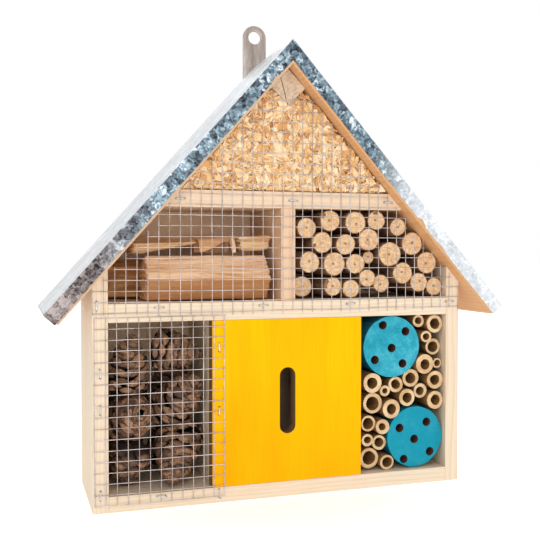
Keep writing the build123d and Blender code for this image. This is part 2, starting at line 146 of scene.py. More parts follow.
def plain(name, colour, roughness, glow):
    """A plain finish for what only stands round the object."""
    finish = bpy.data.materials.new(name)
    finish.use_nodes = True
    shader = finish.node_tree.nodes["Principled BSDF"]
    shader.inputs["Base Color"].default_value = (*colour, 1.0)
    shader.inputs["Roughness"].default_value = roughness
    shader.inputs["Emission Color"].default_value = WHITE
    shader.inputs["Emission Strength"].default_value = glow
    return finish


bpy.ops.mesh.primitive_plane_add(size=12, location=(0, 0, cad_low.z - FLOOR_DROP))
floor = bpy.context.object
floor.name = "floor"
floor.data.materials.append(plain("studio_white", (0.93, 0.93, 0.93), 0.6, FLOOR_GLOW))

# %% [markdown]
# ## Working like a modeller
# An operator acts on whatever is selected, so every step here starts by selecting one
# object alone. `pick` then selects faces, edges or corners of it by their place, the way
# a hand would with the box-select tool.

# %% Selecting
TOUCH = 0.02 * MM


def only(obj):
    """Select one object alone and make it the active one."""
    if bpy.context.mode != "OBJECT":
        bpy.ops.object.mode_set(mode="OBJECT")
    bpy.ops.object.select_all(action="DESELECT")
    obj.select_set(True)
    bpy.context.view_layer.objects.active = obj
    return obj


def edit(obj):
    """Go into edit mode on one object, ready to select its corners."""
    only(obj)
    bpy.ops.object.mode_set(mode="EDIT")
    bpy.ops.mesh.select_mode(type="VERT")


def done():
    """Leave edit mode."""
    bpy.ops.object.mode_set(mode="OBJECT")


def pick(obj, kind, test):
    """In edit mode, select only the corners, edges or faces that pass a test."""
    bpy.ops.mesh.select_mode(type=kind)
    bpy.ops.mesh.select_all(action="DESELECT")
    mesh = bmesh.from_edit_mesh(obj.data)
    parts = {"VERT": mesh.verts, "EDGE": mesh.edges, "FACE": mesh.faces}[kind]
    for part in [p for p in parts if test(p)]:
        part.select_set(True)
    mesh.select_flush_mode()
    bmesh.update_edit_mesh(obj.data)


def middle(edge):
    """The middle point of an edge."""
    return (edge.verts[0].co + edge.verts[1].co) / 2


def near(a, b, slack=TOUCH):
    """Whether two measures are the same but for rounding."""
    return abs(a - b) < slack


def extrude(move, steps=1):
    """Extrude the selection along a move, in equal steps if asked."""
    for _ in range(steps):
        bpy.ops.mesh.extrude_region_move(
            TRANSFORM_OT_translate={"value": tuple(part / steps for part in move)})


def face_outwards():
    """In edit mode, turn all faces of the shape the right way out."""
    bpy.ops.mesh.select_all(action="SELECT")
    bpy.ops.mesh.normals_make_consistent(inside=False)


def apply_all(obj):
    """Make every modifier's result the real mesh."""
    only(obj)
    for modifier in list(obj.modifiers):
        bpy.ops.object.modifier_apply(modifier=modifier.name)


def seat(obj):
    """Put the object's own origin on the world's, with its place in its mesh."""
    only(obj)
    bpy.ops.object.transform_apply(location=True, rotation=True, scale=True)
    return obj


def join(parts, name):
    """Join finished parts into one object."""
    only(parts[0])
    for part in parts:
        part.select_set(True)
    if len(parts) > 1:
        bpy.ops.object.join()
    joined = bpy.context.view_layer.objects.active
    joined.name = name
    joined.data.name = name
    return joined


def twin(obj, matrix=None):
    """A copy with a mesh of its own, moved by a matrix if one is given."""
    copy = obj.copy()
    copy.data = obj.data.copy()
    bpy.context.scene.collection.objects.link(copy)
    if matrix is not None:
        copy.data.transform(matrix)
    return copy


def held(point, low, high):
    """The place nearest to a point inside a box."""
    return Vector(min(max(part, a), b) for part, a, b in zip(point, low, high))


# %% [markdown]
# Four modifiers do most of the finishing: Solidify gives a surface its thickness, Bevel
# breaks sharp edges, Boolean cuts one shape out of another, and Remesh rebuilds a shape from
# small even faces. Each is applied at once, so that the next step works on the real mesh.
# Circles and drills are added lying flat and are turned to face the front.

# %% Finishing tools
FACING_FRONT = (math.radians(90), 0, 0)


def thicken(obj, thickness, offset=0):
    """Give a surface a thickness, to both sides alike if the offset is 0."""
    thick = obj.modifiers.new("thickness", "SOLIDIFY")
    thick.thickness = thickness
    thick.offset = offset
    apply_all(obj)


def break_edges(obj, width, segments, sharper_than):
    """Bevel the edges where the surface turns by more than an angle in degrees."""
    bevel = obj.modifiers.new("edges", "BEVEL")
    bevel.width = width
    bevel.segments = segments
    bevel.limit_method = "ANGLE"
    bevel.angle_limit = math.radians(sharper_than)
    apply_all(obj)


def carve(obj, tool):
    """Cut a tool's shape out of an object, then put the tool away."""
    cut = obj.modifiers.new("cut", "BOOLEAN")
    cut.operation = "DIFFERENCE"
    cut.object = tool
    apply_all(obj)
    bpy.data.objects.remove(tool)


def even_faces(obj, size):
    """Rebuild a closed shape from small even faces, for noise to push about."""
    remesh = obj.modifiers.new("even", "REMESH")
    remesh.mode = "VOXEL"
    remesh.voxel_size = size
    apply_all(obj)


def settle(obj, name, slot, *nodes, angle=35):
    """Name a finished piece, smooth it, and let it stand for its CAD nodes."""
    seat(obj)
    obj.name = name
    obj.data.name = name
    bpy.ops.object.shade_smooth_by_angle(angle=math.radians(angle))
    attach(obj, "root")
    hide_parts(*nodes)
    print(name, "has", len(obj.data.polygons), "faces")
    return obj


print("circles are turned up by, degrees:", round(math.degrees(FACING_FRONT[0])))

# %% [markdown]
# Grouped CAD nodes hold several separate solids, such as four canes. A merged copy falls
# apart into islands, and the circles where a flat end stops say where each cane or hole is.

# %% Reading the frame
DOUBLES = 0.01 * MM


def merged(node):
    """A CAD node's mesh with its doubled corners joined, as a bmesh."""
    mesh = bmesh.new()
    mesh.from_mesh(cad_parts[node].data)
    bmesh.ops.remove_doubles(mesh, verts=mesh.verts, dist=DOUBLES)
    return mesh


def groups_of(verts, links):
    """Connected groups of corners, walking only along the given edges."""
    left = set(verts)
    groups = []
    while left:
        group, waiting = set(), [left.pop()]
        while waiting:
            vert = waiting.pop()
            group.add(vert)
            for link in vert.link_edges:
                other = link.other_vert(vert)
                if link in links and other in left:
                    left.discard(other)
                    waiting.append(other)
        groups.append(group)
    return groups


def box_of(points):
    """(low, high) corners of the box round some points."""
    low = Vector([min(p[i] for p in points) for i in range(3)])
    high = Vector([max(p[i] for p in points) for i in range(3)])
    return low, high


def islands(node):
    """(low, high) corners of each separate solid in a node, from left to right."""
    mesh = merged(node)
    groups = groups_of(mesh.verts, set(mesh.edges))
    boxes = [box_of([v.co.copy() for v in group]) for group in groups]
    mesh.free()
    return sorted(boxes, key=lambda box: (round(box[0].x, 5), round(box[0].z, 5)))


def end_circles(node):
    """(x, y, z, radius) of each circle where an end face square to the depth stops."""
    mesh = merged(node)

    def flat(face):
        return abs(face.normal.y) > 0.999

    rims = [e for e in mesh.edges if sum(flat(f) for f in e.link_faces) == 1]
    verts = set(v for e in rims for v in e.verts)
    circles = []
    for group in groups_of(verts, set(rims)):
        low, high = box_of([v.co.copy() for v in group])
        centre = (low + high) / 2
        circles.append((centre.x, centre.y, centre.z, (high.x - low.x) / 2))
    mesh.free()
    return sorted(circles)


def copy_of(node):
    """A merged copy of a CAD node, free of triangles on its flats, ready to be worked."""
    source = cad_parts[node]
    obj = bpy.data.objects.new(node + "_work", source.data.copy())
    bpy.context.scene.collection.objects.link(obj)
    obj.data.materials.clear()
    edit(obj)
    bpy.ops.mesh.select_all(action="SELECT")
    bpy.ops.mesh.remove_doubles(threshold=DOUBLES)
    bpy.ops.mesh.dissolve_limited(angle_limit=math.radians(0.5))
    done()
    bpy.ops.mesh.customdata_custom_splitnormals_clear()
    return obj


print("canes in the first row:", len(islands("bamboo_canes_1")))

# %% [markdown]
# ## Finishes
# A finish is a small graph of nodes. The class below only saves typing: it adds a node,
# joins what it is given, and hands back the output. Patterns read Object coordinates in
# millimetres, so their sizes are real ones.

# %% A shorter way to write nodes
class Finish:
    """A material under work: each method adds one node and hands back its output."""

    def __init__(self, name, roughness=0.6, metallic=0.0, **more):
        self.material = bpy.data.materials.new(name)
        self.material.use_nodes = True
        self.tree = self.material.node_tree
        self.shader = self.tree.nodes["Principled BSDF"]
        self.shader.inputs["Roughness"].default_value = roughness
        self.shader.inputs["Metallic"].default_value = metallic
        for socket, value in more.items():
            self.shader.inputs[socket.replace("_", " ")].default_value = value

    def feed(self, socket, value):
        """Link an output to a socket, or set the socket to a number or colour."""
        if isinstance(value, bpy.types.NodeSocket):
            self.tree.links.new(value, socket)
        elif isinstance(value, tuple) and len(value) == 3 and socket.type == "RGBA":
            socket.default_value = (*value, 1.0)
        else:
            socket.default_value = value

    def add(self, kind, inputs, output=0, **settings):
        made = self.tree.nodes.new("ShaderNode" + kind)
        for key, value in settings.items():
            setattr(made, key, value)
        for key, value in inputs.items():
            self.feed(made.inputs[key], value)
        return made.outputs[output]

    def object_mm(self, turn=(0, 0, 0), shift=(0, 0, 0)):
        """Object coordinates in millimetres, turned and shifted if asked."""
        place = self.add("TexCoord", {}, "Object")
        turn = tuple(math.radians(angle) for angle in turn)
        inputs = {
            "Vector": place, "Scale": (1 / MM,) * 3, "Rotation": turn, "Location": shift}
        return self.add("Mapping", inputs)

    def stretch(self, vector, scale, shift=(0, 0, 0)):
        return self.add("Mapping", {"Vector": vector, "Scale": scale, "Location": shift})

    def noise(self, vector, scale, detail=3.0, rough=0.5, output="Fac"):
        inputs = {"Vector": vector, "Scale": scale, "Detail": detail, "Roughness": rough}
        return self.add("TexNoise", inputs, output)

    def cells(self, vector, scale, output="Color", feature="F1", randomness=1.0):
        inputs = {"Vector": vector, "Scale": scale, "Randomness": randomness}
        return self.add("TexVoronoi", inputs, output, feature=feature)

    def sums(self, operation, a, b=0.0, c=0.0):
        return self.add("Math", {0: a, 1: b, 2: c}, operation=operation)

    def between(self, value, low, high, to_low=0.0, to_high=1.0):
        """Stretch a value's range so that low and high become the two given ends."""
        inputs = {"Value": value, 1: low, 2: high, 3: to_low, 4: to_high}
        return self.add("MapRange", inputs)

    def ramp(self, value, *stops):
        """Colours along a value: each stop is (position, colour)."""
        output = self.add("ValToRGB", {"Fac": value})
        elements = output.node.color_ramp.elements
        while len(elements) < len(stops):
            elements.new(0.5)
        for element, (position, colour) in zip(elements, stops):
            element.position = position
            element.color = (*colour, 1.0)
        return output

    def mix(self, factor, a, b, blend="MIX"):
        inputs = {0: factor, 6: a, 7: b}
        return self.add("Mix", inputs, 2, data_type="RGBA", blend_type=blend)

    def part(self, vector, name):
        return self.add("SeparateXYZ", {"Vector": vector}, name)

    def attribute(self, name, output="Vector"):
        return self.add("Attribute", {}, output, attribute_name=name)

    def facing(self, axis):
        """How squarely the surface faces along one axis of the object, from -1 to 1."""
        return self.part(self.add("NewGeometry", {}, "Normal"), axis)

    def colour(self, value):
        self.feed(self.shader.inputs["Base Color"], value)

    def roughness(self, value, low, high):
        self.feed(self.shader.inputs["Roughness"], self.between(value, 0.0, 1.0, low, high))

    def relief(self, height, depth_mm, strength=1.0):
        inputs = {"Height": height, "Distance": depth_mm * MM, "Strength": strength}
        self.feed(self.shader.inputs["Normal"], self.add("Bump", inputs))


def tint(red, green, blue):
    """A colour as a paint chart gives it, 0 to 255, in the linear light the shader wants."""

    def linear(value):
        value = value / 255
        return value / 12.92 if value <= 0.04045 else ((value + 0.055) / 1.055) ** 2.4

    return (linear(red), linear(green), linear(blue))


print("a mid grey in linear light:", round(tint(128, 128, 128)[0], 3))


# %% [markdown]
# ### Pine
# A board is a slice of a tree, so its pattern is a solid one: growth rings round a far-off
# heart, cut wherever the surface happens to be. The flat faces then show long flames and
# the sawn ends show arcs, all from the same rings. Fine fibres run along the grain.

# %% Pine
ALONG = {"x": (0, -90, 0), "y": (90, 0, 0), "z": (0, 0, 0)}


def pine(name, grain, heart, light, dark, rings=0.5, ring_gap=2.6, worn=0.25):
    """Sawn pine whose grain runs along an axis, with its heart (a, b) mm off the middle."""
    f = Finish(name, roughness=0.62)
    wood = f.object_mm(ALONG[grain], (heart[0], heart[1], 0))
    slow = f.noise(f.stretch(wood, (0.02, 0.02, 0.006)), 1.0, 2.0, output="Color")
    bent = f.add(
        "VectorMath", {0: slow, 1: (14.0, 14.0, 0.0), 2: wood}, operation="MULTIPLY_ADD")
    flat = f.stretch(bent, (1, 1, 0.0))
    radius = f.add("VectorMath", {0: flat}, "Value", operation="LENGTH")
    turn = f.sums("FRACT", f.sums("DIVIDE", radius, ring_gap))
    ring = f.ramp(
        turn, (0.0, (0, 0, 0)), (0.62, (0.25,) * 3), (0.9, (1, 1, 1)), (1.0, (0, 0, 0)))
    fibre = f.noise(f.stretch(wood, (2.2, 2.2, 0.05)), 1.0, 5.0, 0.65)
    pores = f.noise(f.stretch(wood, (6.0, 6.0, 0.25)), 1.0, 2.0, 0.5)
    broad = f.noise(f.stretch(wood, (0.03, 0.03, 0.008), (7, 3, heart[0])), 1.0, 3.0)
    streak = f.between(fibre, 0.32, 0.72)
    depth = f.sums("MULTIPLY_ADD", ring, rings, f.sums("MULTIPLY", streak, 0.38))
    base = f.mix(depth, light, dark)
    patch = f.between(broad, 0.35, 0.7)
    base = f.mix(f.sums("MULTIPLY", patch, worn), base, dark)
    axis = grain.upper()
    end = f.between(f.sums("ABSOLUTE", f.facing(axis)), 0.8, 0.98, 0.0, 0.45)
    base = f.mix(end, base, tuple(0.62 * part for part in dark))
    f.colour(base)
    f.roughness(streak, 0.52, 0.72)
    rough = f.sums("MULTIPLY_ADD", fibre, 0.8, f.sums("MULTIPLY", pores, 0.5))
    f.relief(rough, 0.12, 0.6)
    return f.material


def dress(node, material):
    """Give a CAD node a finish on its own material slots."""
    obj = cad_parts[node]
    if not obj.material_slots:
        obj.data.materials.append(material)
    for place in obj.material_slots:
        place.material = material


CREAM = tint(236, 219, 195)
HONEY = tint(212, 184, 150)
ROSY = tint(232, 206, 178)
AMBER = tint(208, 158, 112)
BOARDS = {
    "floor_board": ("x", (31, 22), CREAM, HONEY),
    "lower_shelf": ("x", (-90, 45), CREAM, HONEY),
    "upper_shelf": ("x", (-140, -60), ROSY, HONEY),
    "left_side_panel": ("z", (150, 34), CREAM, HONEY),
    "right_side_panel": ("z", (-70, -46), CREAM, HONEY),
    "middle_divider": ("z", (26, -52), ROSY, AMBER),
    "lower_left_divider": ("z", (70, 60), CREAM, HONEY),
    "lower_right_divider": ("z", (-60, 48), CREAM, HONEY),
    "left_roof_board": ("y", (55, 90), ROSY, AMBER),
    # The right roof board's underside shows, so it is given a warmer orange than the other boards:
    # painted warm bounce light and shade under the roof.
    "right_roof_board": ("y", (-60, 120), tint(230, 182, 132), tint(214, 156, 102)),
}
for node, (grain, heart, light, dark) in BOARDS.items():
    dress(node, pine("pine_" + node, grain, heart, light, dark))
print("pine boards dressed:", len(BOARDS))

# %% [markdown]
# ### Other woods
# The back is thin greyish board. The ridge bar shows its sawn end to the front, with a
# drying check across it. The butterfly room's front is pine under a thin yellow stain:
# only its face was brushed, so the slot's inner wall keeps the bare wood, drawn much
# darker than the boards as painted shade inside the slot.

# %% Back board and yellow stain
BACK_BOARD = pine(
    "back_board", "z", (60, -80), tint(246, 216, 184), tint(216, 182, 148), rings=0.25)
dress("back_panel", BACK_BOARD)


def yellow_stain():
    """A thin stain, deeper towards the foot and in blotches, on the face only."""
    f = Finish("yellow_stained_wood", roughness=0.5, Specular_IOR_Level=0.05)
    wood = f.object_mm((0, 0, 0), (64, 38, 0))
    low = f.between(f.part(f.object_mm(), "Z"), 75.0, 5.0)
    fibre = f.noise(f.stretch(wood, (1.6, 1.6, 0.035)), 1.0, 5.0, 0.6)
    broad = f.noise(f.stretch(wood, (0.06, 0.06, 0.012)), 1.0, 3.0)
    streak = f.between(fibre, 0.3, 0.75)
    stain = f.mix(streak, tint(252, 193, 3), tint(246, 178, 0))
    deeper = f.sums("MULTIPLY_ADD", low, 0.5, f.between(broad, 0.4, 0.75, 0.0, 0.45))
    stain = f.mix(deeper, stain, tint(238, 158, 0))
    # Painted shade: the bare pine of the slot wall is drawn dark brown, far darker than the boards.
    bare_wood_in_painted_shade = f.mix(streak, tint(150, 118, 84), tint(84, 60, 42))
    painted = f.between(f.facing("Y"), -0.9, -0.35, 1.0, 0.0)
    f.colour(f.mix(painted, bare_wood_in_painted_shade, stain))
    f.roughness(streak, 0.55, 0.75)
    f.relief(fibre, 0.08, 0.5)
    return f.material


YELLOW = yellow_stain()
dress("butterfly_panel", YELLOW)
print("other boards:", BACK_BOARD.name, YELLOW.name)

# %% [markdown]
# ### Metals
# Hot-dipped zinc freezes into flat crystals, each a little lighter or darker than the
# next: irregular cells with a value of their own, warped so that no edge is straight.
# The welded wire, nails and staples are plain bright steel, the hanger a duller one.

# %% Zinc sheet
def zinc_sheet():
    """Zinc crystals, browner near the left eave, with painted reflection: dark on the lips, pale on
    the right and on the slopes.
    """
    f = Finish("galvanised_sheet", roughness=0.36, metallic=0.85)
    mm = f.object_mm()
    warp = f.noise(mm, 0.35, 3.0, output="Color")
    bent = f.add("VectorMath", {0: warp, 1: (3.0, 3.0, 3.0), 2: mm}, operation="MULTIPLY_ADD")
    large = f.part(f.cells(bent, 0.3), "X")
    small = f.part(f.cells(f.stretch(bent, (1, 1, 1), (9, 4, 2)), 0.75), "X")
    cloud = f.noise(mm, 0.07, 3.0)
    speck = f.noise(mm, 0.7, 5.0, 0.65)
    value = f.sums("MULTIPLY_ADD", large, 0.38, f.sums("MULTIPLY", small, 0.34))
    value = f.sums("MULTIPLY_ADD", f.between(cloud, 0.32, 0.68), 0.24, value)
    value = f.sums("MULTIPLY_ADD", f.between(speck, 0.32, 0.68), 0.2, value)
    # Painted reflection: on the lips the crystals take dark tones, as a dark surround mirrored
    # there would give.
    spangle_dark_reflection = f.ramp(
        value,
        (0.22, tint(28, 30, 36)),
        (0.4, tint(78, 84, 92)),
        (0.58, tint(98, 120, 132)),
        (0.76, tint(146, 166, 176)),
        (0.96, tint(226, 232, 238)),
    )
    # Painted reflection: the same crystals in near-white tones, as the white room mirrored in the
    # sheet would give.
    spangle_pale_reflection = f.ramp(
        value,
        (0.2, tint(204, 208, 212)),
        (0.6, tint(226, 230, 234)),
        (0.95, tint(248, 250, 252)),
    )
    across = f.part(mm, "X")
    # The lip turns browner towards the left eave.
    browner_at_left_eave = f.between(across, -80.0, -118.0, 0.0, 0.92)
    brown = f.mix(f.between(value, 0.25, 0.85), tint(30, 24, 24), tint(158, 144, 140))
    spangle_dark_reflection = f.mix(browner_at_left_eave, spangle_dark_reflection, brown)
    # Masks for the painted pale reflection: the right of the sheet and the upward slopes.
    pale_reflection_right = f.between(across, 52.0, 82.0, 0.0, 0.8)
    pale_reflection_slopes = f.between(f.facing("Z"), 0.25, 0.5, 0.0, 0.82)
    f.colour(f.mix(f.sums("MAXIMUM", pale_reflection_right, pale_reflection_slopes), spangle_dark_reflection, spangle_pale_reflection))
    f.roughness(small, 0.28, 0.52)
    f.relief(f.sums("ADD", large, speck), 0.04, 0.4)
    return f.material


ZINC = zinc_sheet()


def bright_metal(name, light, dark, scale, low, high, streaked=(1, 1, 1)):
    """Bare or plated metal with a fine mottle, streaked along one axis if asked."""
    f = Finish(name, roughness=0.4, metallic=0.9)
    mm = f.stretch(f.object_mm(), streaked)
    mottle = f.noise(mm, scale, 4.0, 0.6)
    spots = f.noise(mm, scale * 0.2, 2.0)
    worn = f.sums("MULTIPLY_ADD", spots, 0.6, f.sums("MULTIPLY", mottle, 0.5))
    worn = f.between(worn, 0.35, 0.75)
    f.colour(f.mix(worn, light, dark))
    f.roughness(mottle, low, high)
    f.relief(mottle, 0.03, 0.4)
    return f.material


WIRE_STEEL = bright_metal("mesh_wire", tint(222, 210, 206), tint(168, 156, 152), 0.5, 0.35, 0.55)
NAIL_STEEL = bright_metal("fixing_steel", tint(232, 232, 234), tint(170, 170, 174), 1.2, 0.22, 0.42)
HANGER_STEEL = bright_metal(
    "hanger_steel", tint(186, 174, 166), tint(136, 124, 116), 1.1, 0.35, 0.6, (1, 1, 0.12))
for node in ("frame_nails", "back_panel_nails", "roof_nails"):
    dress(node, NAIL_STEEL)
print("metals:", ZINC.name, WIRE_STEEL.name, HANGER_STEEL.name)

# %% [markdown]
# ## Roof sheet
# One sheet of zinc-coated steel is folded over the ridge, then turned down in front into a
# lip that hides the roof boards' edges, and turned down again along both eaves. Each slope
# starts as a flat grid laid on the boards. Its front edge is extruded square down for the
# lip, its low edge for the eave. The two lips are cut off at the ridge by a bisect, which
# leaves the mitre. Small dents come next, and Solidify gives the thickness last.

# %% Roof sheet
SHEET = 0.5 * MM
FOLD = 1.1 * MM
roof_low, roof_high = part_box("roof_sheet")
ridge = roof_high.z
reach = roof_high.x
RISE_OVER_RUN = 1.116
LIP_STEPS = (0.34, 0.33, 0.33)
PITCH = math.atan(RISE_OVER_RUN)
slope_length = reach / math.cos(PITCH)
lip_depth = ((ridge - reach * math.tan(PITCH)) - roof_low.z) / math.cos(PITCH)
depth = roof_high.y - roof_low.y
print("pitch", round(math.degrees(PITCH), 1), "slope", round(slope_length / MM), "mm, lip",
      round(lip_depth / MM, 1), "mm")


def roof_slope(side):
    """One slope of the sheet with its lip and eave, still without thickness."""
    across = Vector((side * math.cos(PITCH), 0, -math.sin(PITCH)))
    down = Vector((-side * math.sin(PITCH), 0, -math.cos(PITCH)))
    bpy.ops.mesh.primitive_grid_add(x_subdivisions=60, y_subdivisions=24, size=1)
    slope = bpy.context.object
    for vert in slope.data.vertices:
        along, back = vert.co.x + 0.5, vert.co.y + 0.5
        vert.co = Vector((0, roof_low.y, ridge)) + along * slope_length * across
        vert.co.y += back * depth
    edit(slope)
    eave_z = ridge - reach * math.tan(PITCH)
    for on_rim in (
        lambda point: near(point.y, roof_low.y),
        lambda point: near(point.x, side * reach) and near(point.z, eave_z),
    ):
        pick(slope, "EDGE", lambda e: e.is_boundary and on_rim(middle(e)))
        for share in LIP_STEPS:
            extrude(share * lip_depth * down)
    bpy.ops.mesh.select_mode(type="VERT")
    bpy.ops.mesh.select_all(action="SELECT")
    bpy.ops.mesh.bisect(plane_co=(0, 0, 0), plane_no=(side, 0, 0), clear_inner=True)
    done()
    return slope


def on_slope(vert):
    return near(vert.co.z, ridge - abs(vert.co.x) * math.tan(PITCH))


roof = join([roof_slope(-1), roof_slope(1)], "roof_sheet_folded")
edit(roof)
pick(roof, "VERT", lambda v: near(v.co.x, 0) and on_slope(v))
bpy.ops.mesh.remove_doubles(threshold=TOUCH)
face_outwards()
pick(roof, "EDGE", lambda e: all(on_slope(v) for v in e.verts) and not e.is_boundary and (
    all(near(v.co.x, 0) for v in e.verts)
    or all(near(v.co.y, roof_low.y) for v in e.verts)
    or all(near(abs(v.co.x), reach) for v in e.verts)))
bpy.ops.mesh.bevel(offset=FOLD, segments=3, affect="EDGES", profile=0.5)
done()
print("roof sheet:", len(roof.data.vertices), "corners before its thickness")

# %% [markdown]
# Thin sheet is never flat. A slow noise pushes it in and out by a fraction of a
# millimetre, and the lip's loose lower edge waves a little more than the fold does.

# %% Dents and thickness
SLOW_DENTS, QUICK_DENTS = 28, 90


def below_slope(point):
    """How far a point lies under the slope's own surface, measured square to it."""
    return (ridge - abs(point.x) * math.tan(PITCH) - point.z) * math.cos(PITCH)


for vert in roof.data.vertices:
    slow = noise.noise(vert.co * SLOW_DENTS)
    quick = noise.noise(vert.co * QUICK_DENTS + Vector((5, 2, 9)))
    free = max(0.0, below_slope(vert.co)) / lip_depth
    inward = (0.16 + 0.16 * slow + (0.25 + 0.25 * quick) * free) * MM
    side = 1 if vert.co.x > 0 else -1
    if abs(vert.co.y - roof_low.y) < 0.5 * FOLD and free > 0.05:
        vert.co.y += inward
        wave = (0.3 * slow + 0.25 * quick) * free * MM
        vert.co += wave * Vector((side * math.sin(PITCH), 0, math.cos(PITCH)))
    elif free > 0.05 and abs(vert.co.x) > 0.9 * reach:
        vert.co -= inward * Vector((side * math.cos(PITCH), 0, -math.sin(PITCH)))
    else:
        vert.co -= inward * Vector((side * math.sin(PITCH), 0, math.cos(PITCH))) * 0.6

thicken(roof, SHEET, -1)
for vert in roof.data.vertices:
    vert.co = held(vert.co, roof_low, roof_high)
roof.data.materials.append(ZINC)
settle(roof, "roof_sheet_folded", "galvanised_sheet", "roof_sheet", angle=40)

# %% [markdown]
# ## Hanger
# A flat strap with a round end and a hole, punched from strip. Its punched edges are
# slightly rounded, so a bevel is all that the CAD shape lacks. Each screw head is half a
# sphere squashed flat, with two crossed bars cut out of it for the driver.

# %% Hanger and its screws
PUNCHED_EDGE = 0.25 * MM
CROSS_LENGTH, CROSS_WIDTH, CROSS_DEPTH = 0.62, 0.14, 1.1

strap = copy_of("hanger_strap")
break_edges(strap, PUNCHED_EDGE, 2, 50)
strap.data.materials.append(HANGER_STEEL)
settle(strap, "hanger_strap_rounded", "hanger_steel", "hanger_strap")


def pan_screw(x, y, z, head, height):
    """A screw head with a domed top and a cross recess, facing back."""
    bpy.ops.mesh.primitive_uv_sphere_add(segments=32, ring_count=16, radius=head / 2)
    dome = bpy.context.object
    edit(dome)
    bpy.ops.mesh.select_all(action="SELECT")
    bpy.ops.mesh.bisect(plane_co=(0, 0, 0), plane_no=(0, 0, 1), clear_inner=True, use_fill=True)
    bpy.ops.mesh.select_all(action="SELECT")
    bpy.ops.transform.resize(value=(1, 1, height / (head / 2)), center_override=(0, 0, 0))
    done()
    for turn in (0, math.pi / 2):
        bpy.ops.mesh.primitive_cube_add(size=1, location=(0, 0, height), rotation=(0, 0, turn))
        tool = bpy.context.object
        tool.scale = (CROSS_LENGTH * head, CROSS_WIDTH * head, CROSS_DEPTH * height)
        seat(tool)
        carve(dome, tool)
    facing_back = Matrix.Rotation(math.radians(-90), 4, "X")
    dome.data.transform(Matrix.Translation((x, y, z)) @ facing_back)
    return dome


strap_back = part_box("hanger_strap")[1].y
heads = []
for low, high in islands("hanger_screws"):
    x, z = (low.x + high.x) / 2, (low.z + high.z) / 2
    heads.append(pan_screw(x, strap_back, z, high.x - low.x, high.y - strap_back))
screws = join(heads, "hanger_screws_crosshead")
screws.data.materials.append(NAIL_STEEL)
settle(screws, "hanger_screws_crosshead", "fixing_steel", "hanger_screws")

# %% [markdown]
# ## Welded wire mesh
# Upright wires lie on the wood and level wires are welded across their fronts. A wire is a
# line with a round section, so a curve with a bevel depth says it best: one spline for each
# wire with a point at each weld, turned into a mesh at the end. The same slow noise moves
# every weld a little, so crossing wires stay together. Under the roof the sheet of mesh is
# snipped along the slope, which leaves short stubs.

# %% Welded wire
WIRE = 0.46 * MM
PITCH_UP, PITCH_LOW = 6.24 * MM, 6.25 * MM
ROOF_CLEAR = 1.2 * MM
ROOF_BOARD = 9.5 * MM
STRAY = 0.35 * MM
UNDERSIDE = ridge - (SHEET + ROOF_BOARD) / math.cos(PITCH)


def slack(x, z, seed, bulge):
    """How far the weld at (x, z) has been pushed off its true place."""
    here = Vector((x * 22, z * 22, seed))
    dx = STRAY * noise.noise(here)
    dz = STRAY * noise.noise(here + Vector((9, 4, 2)))
    out = bulge * MM * (0.5 + 0.5 * noise.noise(here * 0.6 + Vector((3, 8, 5))))
    return Vector((dx, -out, dz))


def welded_mesh(node, pitch, seed, bulge, under_roof):
    """One sheet of mesh: wires along every row of welds that the CAD sheet's box holds."""
    low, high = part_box(node)
    cad_wire = high.y - low.y
    first_x, first_z = low.x + cad_wire / 2, low.z + cad_wire / 2
    columns = round((high.x - low.x) / pitch) + 1
    rows = round((high.z - low.z) / pitch) + 1
    rng = random.Random(seed)
    board_front = high.y
    xs = [first_x + pitch * i for i in range(columns)]
    zs = [first_z + pitch * j for j in range(rows)]

    def ceiling(x):
        if not under_roof:
            return math.inf
        return UNDERSIDE - abs(x) * math.tan(PITCH) - ROOF_CLEAR / math.cos(PITCH)

    lines = []
    for x in xs:
        heights = [z for z in zs if z < ceiling(x)]
        if len(heights) < 2:
            continue
        ends = [heights[0] - 0.3 * pitch * rng.random() * under_roof - 0.4 * MM]
        spare = 0.5 * MM
        if under_roof:
            spare = min(0.85 * pitch, ceiling(x) - heights[-1] - 0.3 * MM)
        tips = [heights[-1] + max(0.2 * MM, spare * rng.uniform(0.35, 1.0))]
        lines.append([(x, z, 0.5 * WIRE) for z in ends + heights + tips])
    for z in zs:
        inside = [x for x in xs if z < ceiling(x)]
        if len(inside) < 2:
            continue
        stub = 0.5 * MM + 0.6 * MM * rng.random()
        row = [inside[0] - 0.5 * MM] + inside + [inside[-1] + stub]
        lines.append([(x, z, 1.35 * WIRE) for x in row])

    curve = bpy.data.curves.new(node + "_wires", "CURVE")
    curve.dimensions = "3D"
    curve.bevel_depth = WIRE / 2
    curve.bevel_resolution = 1
    curve.use_fill_caps = True
    for line in lines:
        spline = curve.splines.new("POLY")
        spline.points.add(len(line) - 1)
        for point, (x, z, out) in zip(spline.points, line):
            spot = Vector((x, board_front - out, z)) + slack(x, z, seed, bulge)
            point.co = (*spot, 1.0)
    wires = bpy.data.objects.new(node + "_wires", curve)
    bpy.context.scene.collection.objects.link(wires)
    only(wires)
    bpy.ops.object.convert(target="MESH")
    wires = bpy.context.object
    wires.data.materials.append(WIRE_STEEL)
    settle(wires, node + "_wires", "mesh_wire", node, angle=60)
    print(node, columns, "upright and", rows, "level wires")
    return wires


welded_mesh("upper_mesh", PITCH_UP, 3, 0.25, True)
welded_mesh("lower_mesh", PITCH_LOW, 7, 0.35, False)

# %% [markdown]
# ## Staples
# Each staple is bent from wire: a crown with two rounded shoulders and two legs that vanish
# in the wood. A circle is extruded and spun round the bends for each one, as wide as its
# CAD staple, and put in its place with a little tilt, because they are shot in by hand.

# %% Staples
STAPLE_WIRE = 0.75 * MM
SHOULDER = 0.55 * MM


